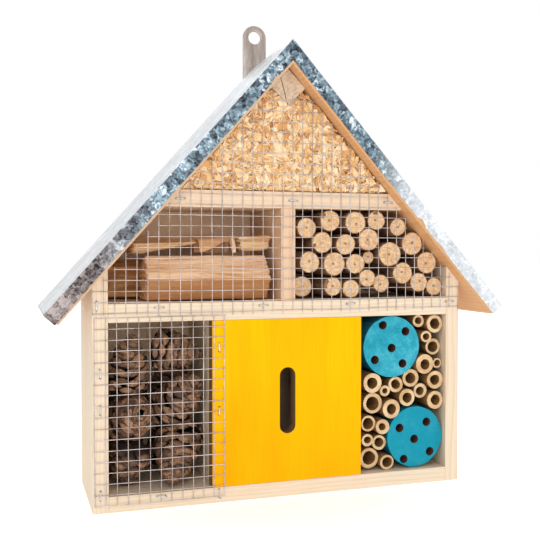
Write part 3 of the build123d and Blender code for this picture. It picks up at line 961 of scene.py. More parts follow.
def staple_blank(span, leg):
    """A staple with its crown along X at height 0 and its legs pointing to +Y."""
    bpy.ops.mesh.primitive_circle_add(
        vertices=8, radius=STAPLE_WIRE / 2, fill_type="NGON", location=(-span / 2, leg, 0),
        rotation=FACING_FRONT)
    blank = seat(bpy.context.object)
    edit(blank)
    bpy.ops.mesh.select_all(action="SELECT")
    bend = {"steps": 5, "angle": math.radians(90), "axis": (0, 0, 1)}
    extrude((0, SHOULDER - leg, 0))
    bpy.ops.mesh.spin(center=(-span / 2 + SHOULDER, SHOULDER, 0), **bend)
    extrude((span - 2 * SHOULDER, 0, 0))
    bpy.ops.mesh.spin(center=(span / 2 - SHOULDER, SHOULDER, 0), **bend)
    extrude((0, leg - SHOULDER, 0))
    bpy.ops.mesh.select_all(action="SELECT")
    bpy.ops.mesh.remove_doubles(threshold=DOUBLES)
    face_outwards()
    done()
    return blank


def staples(node):
    """Bend one staple for each solid in a CAD node, level or upright as that one is."""
    rng = random.Random(node)
    parts = []
    for low, high in islands(node):
        span = max(high.x - low.x, high.z - low.z)
        upright = high.z - low.z > high.x - low.x
        centre = (low + high) / 2
        blank = staple_blank(span, high.y - low.y)
        turn = math.radians(90 if upright else 0) + rng.uniform(-0.12, 0.12)
        place = Matrix.Translation((centre.x, low.y - STAPLE_WIRE, centre.z))
        blank.data.transform(place @ Matrix.Rotation(turn, 4, "Y"))
        parts.append(blank)
    group = join(parts, node + "_bent")
    group.data.materials.append(NAIL_STEEL)
    return settle(group, node + "_bent", "fixing_steel", node, angle=60)


staples("upper_mesh_staples")
staples("lower_mesh_staples")

# %% [markdown]
# ## Twigs
# Each twig is a short branch sawn square: not quite round, not quite straight, with thin
# bark. It starts as a round sawn face and is extruded back step by step. The outline is
# then pushed in and out by noise. The sawn face is inset and sunk a hair, which leaves the
# rim of bark standing round it. Every corner stores how far it lies from the twig's own
# heart, so the end-grain rings follow each twig.

# %% Twig finishes
def end_grain(name, light, mid, dark, ring_gap):
    """A sawn branch end: rings round the stored heart, a dark pith and saw marks."""
    f = Finish(name, roughness=0.75)
    heart = f.attribute("heart")
    mm = f.object_mm()
    wobble = f.noise(mm, 0.22, 2.0, output="Color")
    bent = f.add(
        "VectorMath", {0: wobble, 1: (1.6, 0.0, 1.6), 2: heart}, operation="MULTIPLY_ADD")
    flat = f.stretch(bent, (1, 0, 1), (-0.8, 0, -0.8))
    radius = f.add("VectorMath", {0: flat}, "Value", operation="LENGTH")
    ring = f.sums("SINE", f.sums("MULTIPLY", radius, 2 * math.pi / ring_gap))
    ring = f.between(ring, -1.0, 1.0)
    coarse = f.noise(mm, 0.45, 4.0, 0.6)
    saw = f.noise(f.stretch(mm, (0.35, 1, 3.0)), 1.0, 3.0, 0.6)
    shade = f.sums("MULTIPLY", f.between(coarse, 0.3, 0.7), 0.6)
    shade = f.sums("MULTIPLY_ADD", ring, 0.14, shade)
    shade = f.sums("MULTIPLY_ADD", f.between(saw, 0.35, 0.7), 0.3, shade)
    base = f.ramp(shade, (0.1, light), (0.55, mid), (1.0, dark))
    pith = f.between(radius, 0.45, 1.1, 1.0, 0.0)
    base = f.mix(f.sums("MULTIPLY", pith, 0.8), base, tuple(0.35 * part for part in dark))
    f.colour(base)
    f.roughness(saw, 0.65, 0.85)
    f.relief(f.sums("ADD", saw, f.sums("MULTIPLY", ring, 0.4)), 0.25, 0.8)
    return f.material


def bark_skin(name, light, dark, along=(1, 0.2, 1)):
    """Thin bark, streaked along the branch."""
    f = Finish(name, roughness=0.8)
    mm = f.stretch(f.object_mm(), along)
    flakes = f.noise(mm, 0.5, 5.0, 0.65)
    spots = f.cells(mm, 0.5, "Distance")
    f.colour(f.mix(f.between(flakes, 0.32, 0.7), light, dark))
    f.roughness(flakes, 0.7, 0.9)
    f.relief(f.sums("ADD", flakes, f.sums("MULTIPLY", spots, 0.3)), 0.5, 0.9)
    return f.material


TWIG_END = end_grain(
    "twig_end", tint(248, 220, 180), tint(228, 186, 138), tint(176, 124, 82), 1.1)
TWIG_BARK = bark_skin("twig_bark", tint(170, 128, 92), tint(92, 62, 42))
print("twig finishes:", TWIG_END.name, TWIG_BARK.name)

# %% [markdown]
# The place, width and length of each twig are read from the CAD row it belongs to. Each row
# has random numbers of its own, so a change to one row leaves the others alone.

# %% Twigs
TWIG_STEPS = 8


def sawn_twig(x, z, radius, front, back, rng):
    """A twig with its sawn face at the front, a little out of round and not quite straight."""
    bpy.ops.mesh.primitive_circle_add(
        vertices=30, radius=radius, fill_type="NGON", location=(x, front, z),
        rotation=FACING_FRONT)
    twig = seat(bpy.context.object)
    edit(twig)
    bpy.ops.mesh.select_all(action="SELECT")
    extrude((0, back - front, 0), TWIG_STEPS)
    face_outwards()
    pick(twig, "FACE", lambda f: f.normal.y < -0.9)
    bpy.ops.mesh.inset(thickness=0.07 * radius, depth=0)
    bpy.ops.mesh.inset(thickness=0.3 * radius, depth=-0.15 * MM)
    bpy.ops.mesh.inset(thickness=0.3 * radius, depth=0.1 * MM)
    done()
    seed = Vector((rng.uniform(0, 50), rng.uniform(0, 50), 0))
    lean = Vector((rng.uniform(-1, 1), 0, rng.uniform(-1, 1))) * 0.02
    heart = twig.data.attributes.new("heart", "FLOAT_VECTOR", "POINT")
    off = Vector((rng.uniform(-0.12, 0.12), 0, rng.uniform(-0.12, 0.12))) * radius
    for index, vert in enumerate(twig.data.vertices):
        spoke = Vector((vert.co.x - x, 0, vert.co.z - z))
        back_by = vert.co.y - front
        angle = math.atan2(spoke.z, spoke.x)
        way = Vector((math.cos(angle), math.sin(angle), back_by * 12)) + seed
        swell = 0.075 * noise.noise(way * 0.9) + 0.03 * noise.noise(way * 2.6)
        share = spoke.length / radius
        vert.co += spoke * (swell * share) + lean * back_by
        vert.co.y += 0.5 * MM * noise.noise(way * 1.7) * (1 if back_by < MM else 0)
        heart.data[index].vector = (spoke + off) / MM
    twig.data.materials.append(TWIG_BARK)
    twig.data.materials.append(TWIG_END)
    for face in twig.data.polygons:
        inner = max((twig.data.vertices[i].co - Vector((x, front, z))).xz.length
                    for i in face.vertices) < 0.97 * radius
        face.material_index = 1 if inner and face.normal.y < -0.6 else 0
    return twig


for number in range(1, 6):
    node = f"sawn_twigs_{number}"
    rng = random.Random(number)
    row = []
    for low, high in islands(node):
        x, z, radius = (low.x + high.x) / 2, (low.z + high.z) / 2, (high.x - low.x) / 2
        row.append(sawn_twig(x, z, radius, low.y, high.y, rng))
    settle(join(row, node + "_barked"), node + "_barked", "twig_wood", node, angle=50)

# %% [markdown]
# ## Bamboo canes
# A cane is a hard tube with a pale fibrous wall and a dark hollow, closed further in by a
# node. The outer ring of edges is extruded back for the skin and inward for the sawn rim,
# and the rim's inner edge goes back for the hollow, all from one circle. Skin, rim and
# hollow have a finish each.

# %% Bamboo finishes
def cane_skin():
    """The hard brown skin, streaked along the cane, darkened as painted shade of the gaps between
    canes.
    """
    f = Finish("cane_skin", roughness=0.4)
    mm = f.object_mm()
    streak = f.noise(f.stretch(mm, (1.4, 0.05, 1.4)), 1.0, 4.0, 0.6)
    broad = f.noise(mm, 0.08, 2.0)
    # Painted shade: these browns are darker than the cane's own, to stand for the shadow between
    # the canes.
    base = f.ramp(f.between(streak, 0.3, 0.72), (0.0, tint(166, 126, 80)), (1.0, tint(100, 68, 40)))
    f.colour(f.mix(f.between(broad, 0.4, 0.7, 0.0, 0.7), base, tint(98, 76, 44)))
    f.roughness(streak, 0.32, 0.55)
    f.relief(streak, 0.08, 0.5)
    return f.material


def cane_rim():
    """The sawn wall: pale, with the darker dots of cut fibres."""
    f = Finish("cane_rim", roughness=0.75)
    mm = f.object_mm()
    fibres = f.cells(mm, 1.9, "Distance")
    tone = f.noise(mm, 0.16, 3.0)
    dots = f.between(fibres, 0.1, 0.45, 0.5, 0.0)
    base = f.mix(f.between(tone, 0.35, 0.65), tint(230, 202, 160), tint(204, 164, 116))
    f.colour(f.mix(dots, base, tint(168, 122, 80)))
    f.roughness(tone, 0.65, 0.85)
    f.relief(f.noise(mm, 1.6, 3.0, 0.6), 0.2, 0.7)
    return f.material


def cane_hollow():
    """The brown inner wall."""
    f = Finish("cane_hollow", roughness=0.85)
    mm = f.object_mm()
    streak = f.noise(f.stretch(mm, (1.2, 0.15, 1.2)), 1.0, 4.0, 0.6)
    f.colour(f.mix(f.between(streak, 0.3, 0.7), tint(160, 118, 62), tint(92, 62, 32)))
    f.roughness(streak, 0.75, 0.9)
    f.relief(streak, 0.2, 0.7)
    return f.material


CANE_FINISHES = (cane_skin(), cane_rim(), cane_hollow())
print("cane finishes:", [finish.name for finish in CANE_FINISHES])

# %% [markdown]
# Each cane's bore and how deep it goes are read from the circles in the CAD row. A grown
# cane isn't round, so noise pushes the skin a little and the hollow more, and the hollow is
# shifted off the middle, which leaves the wall thicker on one side.

# %% Bamboo canes
RIM_SLACK = 0.1 * MM
SAWN_EDGE = 0.22 * MM


def cane(x, z, outer, bore, front, back, floor_y, rng):
    """A cane from front to back, hollow from the front as far as the floor inside it."""
    spot = Vector((x, front, z))
    bpy.ops.mesh.primitive_circle_add(
        vertices=32, radius=outer, fill_type="NOTHING", location=spot, rotation=FACING_FRONT)
    tube = seat(bpy.context.object)
    edit(tube)
    bpy.ops.mesh.select_all(action="SELECT")
    extrude((0, back - front, 0), 6)
    bpy.ops.mesh.edge_face_add()

    def at_front(part):
        return all(near(v.co.y, front) for v in part.verts)

    pick(tube, "EDGE", at_front)
    wall_middle = (outer + bore) / 2
    for size in (wall_middle / outer, bore / wall_middle):
        bpy.ops.mesh.extrude_region_move()
        bpy.ops.transform.resize(value=(size, 1, size), center_override=spot)
    extrude((0, floor_y - front, 0), 3)
    bpy.ops.mesh.edge_face_add()
    face_outwards()
    done()
    seed = Vector((rng.uniform(0, 50), rng.uniform(0, 50), 0))
    drift = Vector((rng.uniform(-1, 1), 0, rng.uniform(-1, 1))) * 0.12 * (outer - bore)
    for finish in CANE_FINISHES:
        tube.data.materials.append(finish)
    for face in tube.data.polygons:
        radial = (face.center - spot).xz.length
        if face.normal.y < -0.9 and face.center.y < front + RIM_SLACK:
            face.material_index = 1
        elif radial < 0.5 * (outer + bore):
            face.material_index = 2
    for vert in tube.data.vertices:
        spoke = Vector((vert.co.x - x, 0, vert.co.z - z))
        angle = math.atan2(spoke.z, spoke.x)
        way = Vector((math.cos(angle), math.sin(angle), (vert.co.y - front) * 6)) + seed
        inner = spoke.length < 0.98 * outer
        swell = (0.09 if inner else 0.035) * noise.noise(way * 0.8)
        vert.co += spoke * swell + (drift if inner else Vector())
        if vert.co.y < front + RIM_SLACK:
            vert.co.y += 0.35 * MM * noise.noise(way * 2.2)
    break_edges(tube, SAWN_EDGE, 2, 55)
    return tube


for number in range(1, 7):
    node = f"bamboo_canes_{number}"
    rng = random.Random(40 + number)
    circles = end_circles(node)
    row = []
    for low, high in islands(node):
        x, z, outer = (low.x + high.x) / 2, (low.z + high.z) / 2, (high.x - low.x) / 2
        inside = [c for c in circles if math.hypot(c[0] - x, c[2] - z) < MM]
        bores = [c for c in inside if c[3] < 0.9 * outer]
        bore, deepest = bores[0][3], max(c[1] for c in bores)
        row.append(cane(x, z, outer, bore, low.y, high.y, deepest, rng))
    settle(join(row, node + "_grown"), node + "_grown", "bamboo", node, angle=40)

# %% [markdown]
# ## Drilled blocks
# Two rounds of wood, stained turquoise on the sawn face, with five nesting holes each. The
# holes are drilled by a boolean, as a drill would, and their mouths and the block's rim are
# then broken by a bevel. The stain is thin and blotchy and lighter where it pooled less.

# %% Drilled blocks
MOUTH_EDGE = 0.35 * MM


def blue_stain():
    """Turquoise stain, blotchy on the face and darker round the side, the face deeper towards the
    bottom as painted shade.
    """
    f = Finish("blue_stained_wood", roughness=0.6, Specular_IOR_Level=0.15)
    mm = f.object_mm()
    blot = f.noise(mm, 0.12, 4.0, 0.6)
    fine = f.noise(mm, 0.9, 4.0, 0.6)
    fibre = f.noise(f.stretch(mm, (1.3, 0.2, 0.4)), 1.0, 4.0, 0.6)
    face = f.ramp(
        f.sums("MULTIPLY_ADD", fine, 0.4, f.sums("MULTIPLY", blot, 0.7)),
        (0.3, tint(14, 126, 150)), (0.55, tint(44, 160, 182)), (0.8, tint(98, 188, 204)))
    # Painted shade: below 60 mm the face deepens towards a strong turquoise.
    low = f.between(f.part(mm, "Z"), 60.0, 48.0)
    face = f.mix(f.sums("MULTIPLY", low, 0.8), face, tint(0, 142, 166))
    side = f.mix(f.between(fibre, 0.3, 0.7), tint(30, 118, 134), tint(16, 78, 94))
    front = f.between(f.facing("Y"), -0.85, -0.3, 1.0, 0.0)
    f.colour(f.mix(front, side, face))
    f.roughness(fine, 0.5, 0.7)
    f.relief(f.sums("ADD", fine, fibre), 0.12, 0.6)
    return f.material


BLUE = blue_stain()


def drilled_hole():
    """Bare brown wood with the marks of the drill's turns."""
    f = Finish("drilled_hole", roughness=0.85)
    mm = f.object_mm()
    turns = f.noise(f.stretch(mm, (0.5, 2.2, 0.5)), 1.0, 3.0, 0.6)
    f.colour(f.mix(f.between(turns, 0.3, 0.7), tint(112, 66, 48), tint(52, 32, 26)))
    f.roughness(turns, 0.75, 0.9)
    f.relief(turns, 0.2, 0.7)
    return f.material


HOLE = drilled_hole()


def drilled_block(node):
    """A round block with its holes drilled from the front, then its edges broken."""
    low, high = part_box(node)
    circles = [c for c in end_circles(node) if c[3] < 0.3 * (high.x - low.x)]
    depth = max(c[1] for c in circles) - low.y
    mouths = [c for c in circles if near(c[1], low.y, 0.1 * MM)]
    centre, radius = (low + high) / 2, (high.x - low.x) / 2
    bpy.ops.mesh.primitive_cylinder_add(
        vertices=96, radius=radius, depth=high.y - low.y, location=centre,
        rotation=FACING_FRONT)
    block = seat(bpy.context.object)
    block.data.materials.append(BLUE)
    block.data.materials.append(HOLE)
    for x, _, z, bore in mouths:
        bpy.ops.mesh.primitive_cylinder_add(
            vertices=32, radius=bore, depth=2 * depth, location=(x, low.y, z),
            rotation=FACING_FRONT)
        carve(block, seat(bpy.context.object))
    for face in block.data.polygons:
        if (face.center - centre).xz.length < 0.92 * radius and abs(face.normal.y) < 0.5:
            face.material_index = 1
    break_edges(block, MOUTH_EDGE, 3, 50)
    for vert in block.data.vertices:
        spoke = Vector((vert.co.x - centre.x, 0, vert.co.z - centre.z))
        if spoke.length > 0.9 * radius:
            angle = math.atan2(spoke.z, spoke.x)
            way = Vector((math.cos(angle) * 2, math.sin(angle) * 2, centre.z * 90))
            vert.co += spoke.normalized() * (0.22 * MM * (noise.noise(way * 2) - 0.6))
    print(node, len(mouths), "holes,", round(depth / MM), "mm deep")
    return settle(block, node + "_stained", "blue_stained_wood", node, angle=40)


drilled_block("upper_drilled_block")
drilled_block("lower_drilled_block")

# %% [markdown]
# ## Split wood and bark
# Split wood breaks along its fibres, so its colour runs in long streaks with thin dark
# cracks between them. The side that faces down is painted darker, as shade. Bark is flaky,
# and its torn rim is paler than its skin.

# %% Split wood finishes
def split_wood(name, light, mid, dark):
    """Torn wood whose fibres run along X, with painted shade on the side that faces down."""
    f = Finish(name, roughness=0.75)
    mm = f.object_mm()
    fibre = f.noise(f.stretch(mm, (0.05, 1.1, 1.1)), 1.0, 6.0, 0.62)
    broad = f.noise(f.stretch(mm, (0.025, 0.12, 0.12)), 1.0, 3.0)
    crack = f.noise(f.stretch(mm, (0.035, 0.5, 0.5), (0, 3, 8)), 1.0, 2.0)
    value = f.sums("MULTIPLY_ADD", fibre, 0.65, f.sums("MULTIPLY", broad, 0.5))
    base = f.ramp(value, (0.36, dark), (0.55, mid), (0.72, light))
    off_crack = f.sums("ABSOLUTE", f.sums("SUBTRACT", crack, 0.5))
    line = f.between(off_crack, 0.0, 0.015, 0.45, 0.0)
    base = f.mix(line, base, tuple(0.3 * part for part in dark))
    # Painted shade: faces that look down are pulled towards a darker wood colour.
    painted_shade_below = f.between(f.facing("Z"), -0.15, 0.25, 0.85, 0.0)
    f.colour(f.mix(painted_shade_below, base, tuple(0.8 * part for part in dark)))
    f.roughness(fibre, 0.62, 0.85)
    f.relief(fibre, 0.45, 0.8)
    return f.material


LOG_WOOD = split_wood("log_wood", tint(252, 216, 180), tint(236, 194, 154), tint(186, 122, 60))
PALE_WOOD = split_wood(
    "pale_split_wood", tint(250, 222, 178), tint(232, 192, 140), tint(190, 140, 92))
RED_WOOD = split_wood(
    "red_split_wood", tint(242, 188, 124), tint(220, 160, 98), tint(178, 118, 66))
BARK = bark_skin("bark", tint(232, 186, 138), tint(176, 122, 78), (0.15, 1, 1))
BARK_RIM = bark_skin("bark_rim", tint(246, 212, 180), tint(214, 172, 136), (1, 1, 1))
print("split wood:", LOG_WOOD.name, PALE_WOOD.name, RED_WOOD.name, BARK.name, BARK_RIM.name)

# %% [markdown]
# The faces of a split log are long ridges and its ends are ragged. A merged copy of each
# plain CAD log has its edges broken and is rebuilt from small even faces by a voxel remesh.
# Noise that is slow along the log and quick across it raises the ridges, and a finer noise
# tears the ends back. The result is stretched back to the CAD log's box, so that the log
# still touches what it lies on. The bark has a step of its own after this one.

# %% Split wood
LOG_EDGE = 0.9 * MM
TORN_REACH = 4 * MM


def rugged(node, voxel, ridge_mm, ragged_mm, seed, material, slot, name):
    """A copy of a plain CAD log with ridges along X and torn ends."""
    low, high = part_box(node)
    log = copy_of(node)
    break_edges(log, LOG_EDGE, 2, 30)
    even_faces(log, voxel)
    normals = [v.normal.copy() for v in log.data.vertices]
    for vert, normal in zip(log.data.vertices, normals):
        x, y, z = vert.co / MM
        way = Vector((x * 0.022, y * 0.2, z * 0.2 + seed))
        long_ridge = noise.noise(way) + 0.5 * noise.noise(way * 2.3)
        long_ridge += 0.3 * noise.noise(way * 5.1)
        end = min(vert.co.x - low.x, high.x - vert.co.x)
        torn = noise.noise(Vector((seed, y * 0.55, z * 0.55)))
        torn += 0.6 * noise.noise(Vector((seed, y * 1.5, z * 1.5)))
        vert.co += normal * ridge_mm * MM * (long_ridge - 0.55)
        if end < TORN_REACH:
            outward = 1 if vert.co.x > (low.x + high.x) / 2 else -1
            torn_off = ragged_mm * MM * max(0.0, 0.7 + torn)
            vert.co.x -= outward * torn_off * (1 - end / TORN_REACH)
    worn_low, worn_high = box_of([v.co.copy() for v in log.data.vertices])
    for vert in log.data.vertices:
        for i in range(3):
            share = (vert.co[i] - worn_low[i]) / (worn_high[i] - worn_low[i])
            vert.co[i] = low[i] + share * (high[i] - low[i])
    log.data.materials.append(material)
    return settle(log, name, slot, node, angle=55)


rugged("large_split_log", 0.9 * MM, 0.45, 0.9, 3, LOG_WOOD, "split_wood", "large_log_split")
rugged("rear_split_log", 1.1 * MM, 0.9, 2.0, 11, RED_WOOD, "split_wood", "rear_log_split")
rugged("split_wedge", 0.7 * MM, 0.4, 1.6, 23, PALE_WOOD, "split_wood", "wedge_split")
rugged("split_slab", 0.8 * MM, 0.5, 1.8, 31, LOG_WOOD, "split_wood", "slab_split")
rugged("split_offcut", 0.6 * MM, 0.45, 1.6, 47, PALE_WOOD, "split_wood", "offcut_split")

# %% [markdown]
# The bark is a thin curl that has cracked open in front, so it starts as a flat grid. Each
# row of the grid is wrapped over the log on an arc, which starts higher up where the front
# has broken away. The last few rows at the right keep their whole arc, as a pale torn rim.

# %% Bark
bark_low, bark_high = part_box("bark_curl")
BARK_SKIN = 1.1 * MM
BROKEN_BY = 0.7
RIM_FROM = 0.88
bark_length = bark_high.x - bark_low.x
arc_middle = (bark_low.y + bark_high.y) / 2
arc_radius = (bark_high.y - bark_low.y) / 2 - BARK_SKIN / 2
bpy.ops.mesh.primitive_grid_add(x_subdivisions=36, y_subdivisions=24, size=1)
bark = bpy.context.object
for vert in bark.data.vertices:
    share, turn = vert.co.x + 0.5, vert.co.y + 0.5
    broken = min(1.0, share / BROKEN_BY) ** 1.5 if share < RIM_FROM else 0.0
    start = math.radians(50) * broken
    angle = start + (math.pi - start) * turn
    way = Vector((share * 4, turn * 5, 3))
    radius = arc_radius * (0.84 + 0.16 * share ** 2) - 0.5 * MM * (0.5 + 0.5 * noise.noise(way))
    radius = radius if share < RIM_FROM else arc_radius - 0.1 * MM
    vert.co = Vector((
        bark_low.x + share * bark_length - 0.5 * MM * abs(noise.noise(way * 1.7)),
        arc_middle - radius * math.cos(angle),
        bark_low.z + radius * math.sin(angle),
    ))
    vert.co.x = max(bark_low.x, vert.co.x)
thicken(bark, BARK_SKIN)
for vert in bark.data.vertices:
    vert.co = held(vert.co, bark_low, bark_high)
bark.data.materials.append(BARK)
bark.data.materials.append(BARK_RIM)
for face in bark.data.polygons:
    face.material_index = 1 if face.center.x > bark_low.x + 0.9 * bark_length else 0
edit(bark)
face_outwards()
done()
settle(bark, "bark_curled", "bark", "bark_curl", angle=55)

# %% [markdown]
# ## Pine cones
# A cone is one woody scale repeated round a core, each turned by the golden angle from the
# last. Only the tips of the scales are pale, so every corner stores how near the tip it
# lies, and every scale has a tone of its own.

# %% Cone finish
def cone_scales():
    """Dark scales whose tips are pale, some more than others: the near-black is partly painted
    shade between the scales, the pale tips partly a painted highlight.
    """
    f = Finish("cone_scales", roughness=0.7)
    tip = f.attribute("tip", "Fac")
    mm = f.object_mm()
    mottle = f.noise(mm, 0.5, 4.0, 0.6)
    tone = f.attribute("tone", "Fac")
    # The scale colour is near-black, darker than cone wood: partly painted shade between the
    # scales. The pale tips are real, and partly a painted highlight.
    dark = f.mix(mottle, tint(52, 31, 22), tint(16, 10, 7))
    pale = f.mix(f.between(mottle, 0.3, 0.7), tint(200, 150, 112), tint(96, 64, 42))
    edge = f.sums("MULTIPLY", f.between(tip, 0.84, 0.98), f.between(tone, 0.0, 1.0, 0.15, 0.95))
    f.colour(f.mix(edge, dark, pale))
    f.roughness(mottle, 0.6, 0.82)
    f.relief(mottle, 0.3, 0.8)
    return f.material


CONE = cone_scales()
print("cone finish:", CONE.name)

# %% [markdown]
# The scale is a spoon: narrow at the root, wide and thick near its tip. It starts as a
# ten-sided face that is extruded through a few sections. Each section then gets its own
# width, thickness and lift, as shares of the scale's width and length.

# %% One scale
SECTIONS = (  # along, wide, thick, lift
    (0.0, 0.16, 0.07, 0.0),
    (0.35, 0.6, 0.1, 0.0),
    (0.68, 0.95, 0.17, 0.03),
    (0.88, 1.0, 0.3, 0.08),
    (0.97, 0.74, 0.26, 0.12),
    (1.0, 0.3, 0.12, 0.15),
)


def scale_blank(length, width):
    """A cone scale with its root at the origin, reaching along X, its upper side to +Z."""
    bpy.ops.mesh.primitive_circle_add(
        vertices=10, radius=0.5, fill_type="NGON", rotation=(0, math.radians(90), 0))
    scale = seat(bpy.context.object)
    edit(scale)
    bpy.ops.mesh.select_all(action="SELECT")
    for before, after in zip(SECTIONS, SECTIONS[1:]):
        extrude((after[0] - before[0], 0, 0))
    face_outwards()
    done()
    tip = scale.data.attributes.new("tip", "FLOAT", "POINT")
    for index, vert in enumerate(scale.data.vertices):
        along, wide, thick, lift = min(SECTIONS, key=lambda row: abs(row[0] - vert.co.x))
        side = 2 * vert.co.y
        vert.co.x = (along - 0.1 * side * side * along) * length
        vert.co.y *= wide * width
        vert.co.z = vert.co.z * thick * length * (1 - 0.35 * side * side) + lift * length
        tip.data[index].value = along
    return scale


print("a scale has", len(SECTIONS), "sections")

# %% [markdown]
# The CAD cone is a plain egg: its longest line is the cone's axis, and the tip is at the end
# away from its widest part. Scales near the base stand out almost square and those near the
# tip lie along the axis. The cones are a little larger than their eggs, so that the pile is
# dense, and what would pass through a wall of the room is held at it.

# %% Whole cones
GOLDEN = math.pi * (3 - math.sqrt(5))
CONE_SWELL = 1.2
SCALE_COUNT = 104
SCALE_LENGTH, SCALE_WIDTH = 0.4, 0.29
CORE_WIDTH, CORE_LENGTH = 0.3, 0.68


def long_axis(node):
    """(middle, direction of the tip, length, width) of an egg-shaped CAD solid."""
    mesh = merged(node)
    points = [v.co.copy() for v in mesh.verts]
    middle_point = sum(points, Vector()) / len(points)
    far = max(points, key=lambda p: (p - middle_point).length)
    axis = (far - middle_point).normalized()
    for _ in range(4):
        ends = [max(points, key=lambda p: p.dot(axis)), min(points, key=lambda p: p.dot(axis))]
        axis = (ends[0] - ends[1]).normalized()
    along = [p.dot(axis) for p in points]
    half = (max(along) + min(along)) / 2
    centre = (ends[0] + ends[1]) / 2
    radii = [((p - centre) - (p - centre).dot(axis) * axis).length for p in points]
    widest = max(range(len(points)), key=lambda i: radii[i])
    if along[widest] > half:
        axis = -axis
    mesh.free()
    return centre, axis, max(along) - min(along), 2 * max(radii)


left_wall, cone_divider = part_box("left_side_panel"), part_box("lower_left_divider")
room_low = Vector((left_wall[1].x, cone_divider[0].y - 8 * MM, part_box("floor_board")[1].z))
room_high = Vector((cone_divider[0].x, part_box("back_panel")[0].y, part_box("lower_shelf")[0].z))


def pine_cone(node, seed):
    """A cone of scales round a core, in the place of one CAD egg."""
    centre, axis, length, width = long_axis(node)
    rng = random.Random(seed)
    width, length = width * CONE_SWELL, length * CONE_SWELL
    scales = []
    blank = scale_blank(width * SCALE_LENGTH, width * SCALE_WIDTH)
    upright = axis.to_track_quat("Z", "Y").to_matrix().to_4x4()
    base = Matrix.Translation(centre - axis * length / 2) @ upright
    for number in range(SCALE_COUNT):
        share = (number + 0.5) / SCALE_COUNT
        open_angle = math.radians(8 + 76 * share + rng.uniform(-7, 7))
        belly = math.sin(math.pi * min(1.0, 0.2 + 0.75 * share)) ** 0.7
        size = (0.55 + 0.5 * belly) * rng.uniform(0.92, 1.08)
        root = Vector((0.06 * width * (1 - share), 0, (0.06 + 0.66 * share) * length))
        twist = Matrix.Rotation(rng.uniform(-0.15, 0.15), 4, "X")
        lift = Matrix.Rotation(-open_angle, 4, "Y") @ twist
        turn = Matrix.Rotation(number * GOLDEN + rng.uniform(-0.1, 0.1), 4, "Z")
        place = base @ turn @ Matrix.Translation(root) @ lift @ Matrix.Scale(size, 4)
        scale = twin(blank, place)
        tone = scale.data.attributes.new("tone", "FLOAT", "POINT")
        value = rng.random()
        tone.data.foreach_set("value", [value] * len(scale.data.vertices))
        scales.append(scale)
    bpy.ops.mesh.primitive_ico_sphere_add(subdivisions=2, radius=0.5)
    core = bpy.context.object
    for name in ("tip", "tone"):
        core.data.attributes.new(name, "FLOAT", "POINT")
    core.data.transform(
        Matrix.Translation(centre - 0.08 * length * axis) @ upright
        @ Matrix.Diagonal((CORE_WIDTH * width, CORE_WIDTH * width, CORE_LENGTH * length, 1)))
    bpy.data.objects.remove(blank)
    cone = join(scales + [core], node + "_scaled")
    half_width = width / 2
    for vert in cone.data.vertices:
        offset = vert.co - centre
        up = offset.dot(axis)
        out = offset - up * axis
        height = min(1.0, max(0.0, up / length + 0.5))
        limit = half_width * (3 * height * (1 - height)) ** 0.45 * 1.18 + 0.06 * width
        if out.length > limit:
            out *= limit / out.length
        up = max(-length / 2, min(length / 2, up))
        vert.co = held(centre + up * axis + out, room_low, room_high)
    cone.data.materials.append(CONE)
    return settle(cone, node + "_scaled", "pine_cone", node, angle=60)


for number in range(1, 11):
    pine_cone(f"pine_cone_{number:02d}", number)

# %% [markdown]
# ## Wood shavings
# The attic is stuffed with curled plane shavings. Each has a tone of its own, from nearly
# white sapwood to amber, pushed deeper amber further back in the heap as painted shade, and
# faint lines along the strip where the plane followed the rings. Both are stored on the
# curls, so that they follow every turn.

# %% Shavings finish
def shavings_finish():
    """Thin curls of pine, each with its own tone (deeper further back, as painted shade), lined
    along the strip.
    """
    f = Finish("shavings", roughness=0.65)
    mm = f.object_mm()
    tone = f.attribute("tone", "Fac")
    across = f.attribute("across", "Fac")
    fibre = f.noise(mm, 0.9, 4.0, 0.6)
    base = f.ramp(
        tone, (0.0, tint(250, 234, 202)), (0.4, tint(246, 216, 168)),
        (0.7, tint(234, 184, 118)), (1.0, tint(198, 138, 78)))
    lines = f.between(f.sums("FRACT", f.sums("MULTIPLY", across, 3.0)), 0.55, 1.0, 0.0, 0.3)
    base = f.mix(lines, base, tint(222, 160, 96))
    f.colour(f.mix(f.between(fibre, 0.4, 0.75, 0.0, 0.35), base, tint(226, 168, 104)))
    f.roughness(fibre, 0.55, 0.75)
    f.relief(fibre, 0.12, 0.6)
    return f.material


SHAVING = shavings_finish()
print("shavings finish:", SHAVING.name)

# %% [markdown]
# Five blanks are rolled from thin strips, from a nearly flat chip to a curl of more than
# half a turn. Each is a small grid with few faces, because it will be copied hundreds of
# times.

# %% Blanks for the shavings
CURL_SKIN = 0.28 * MM


def curl_blank(length, width, radius, steps, skew):
    """A thin strip rolled round a radius, or left nearly flat if the radius is large."""
    bpy.ops.mesh.primitive_grid_add(x_subdivisions=steps, y_subdivisions=2, size=1)
    strip = bpy.context.object
    across = strip.data.attributes.new("across", "FLOAT", "POINT")
    for index, vert in enumerate(strip.data.vertices):
        along, side = vert.co.x * length, vert.co.y
        taper = 1 - 0.35 * abs(2 * vert.co.x) ** 3
        angle = along / radius
        sideways = side * width * taper + skew * along
        here = radius * (1 + 0.08 * angle)
        vert.co = Vector((here * math.sin(angle), sideways, here * (1 - math.cos(angle))))
        across.data[index].value = side + 0.5
    thicken(strip, CURL_SKIN)
    return strip


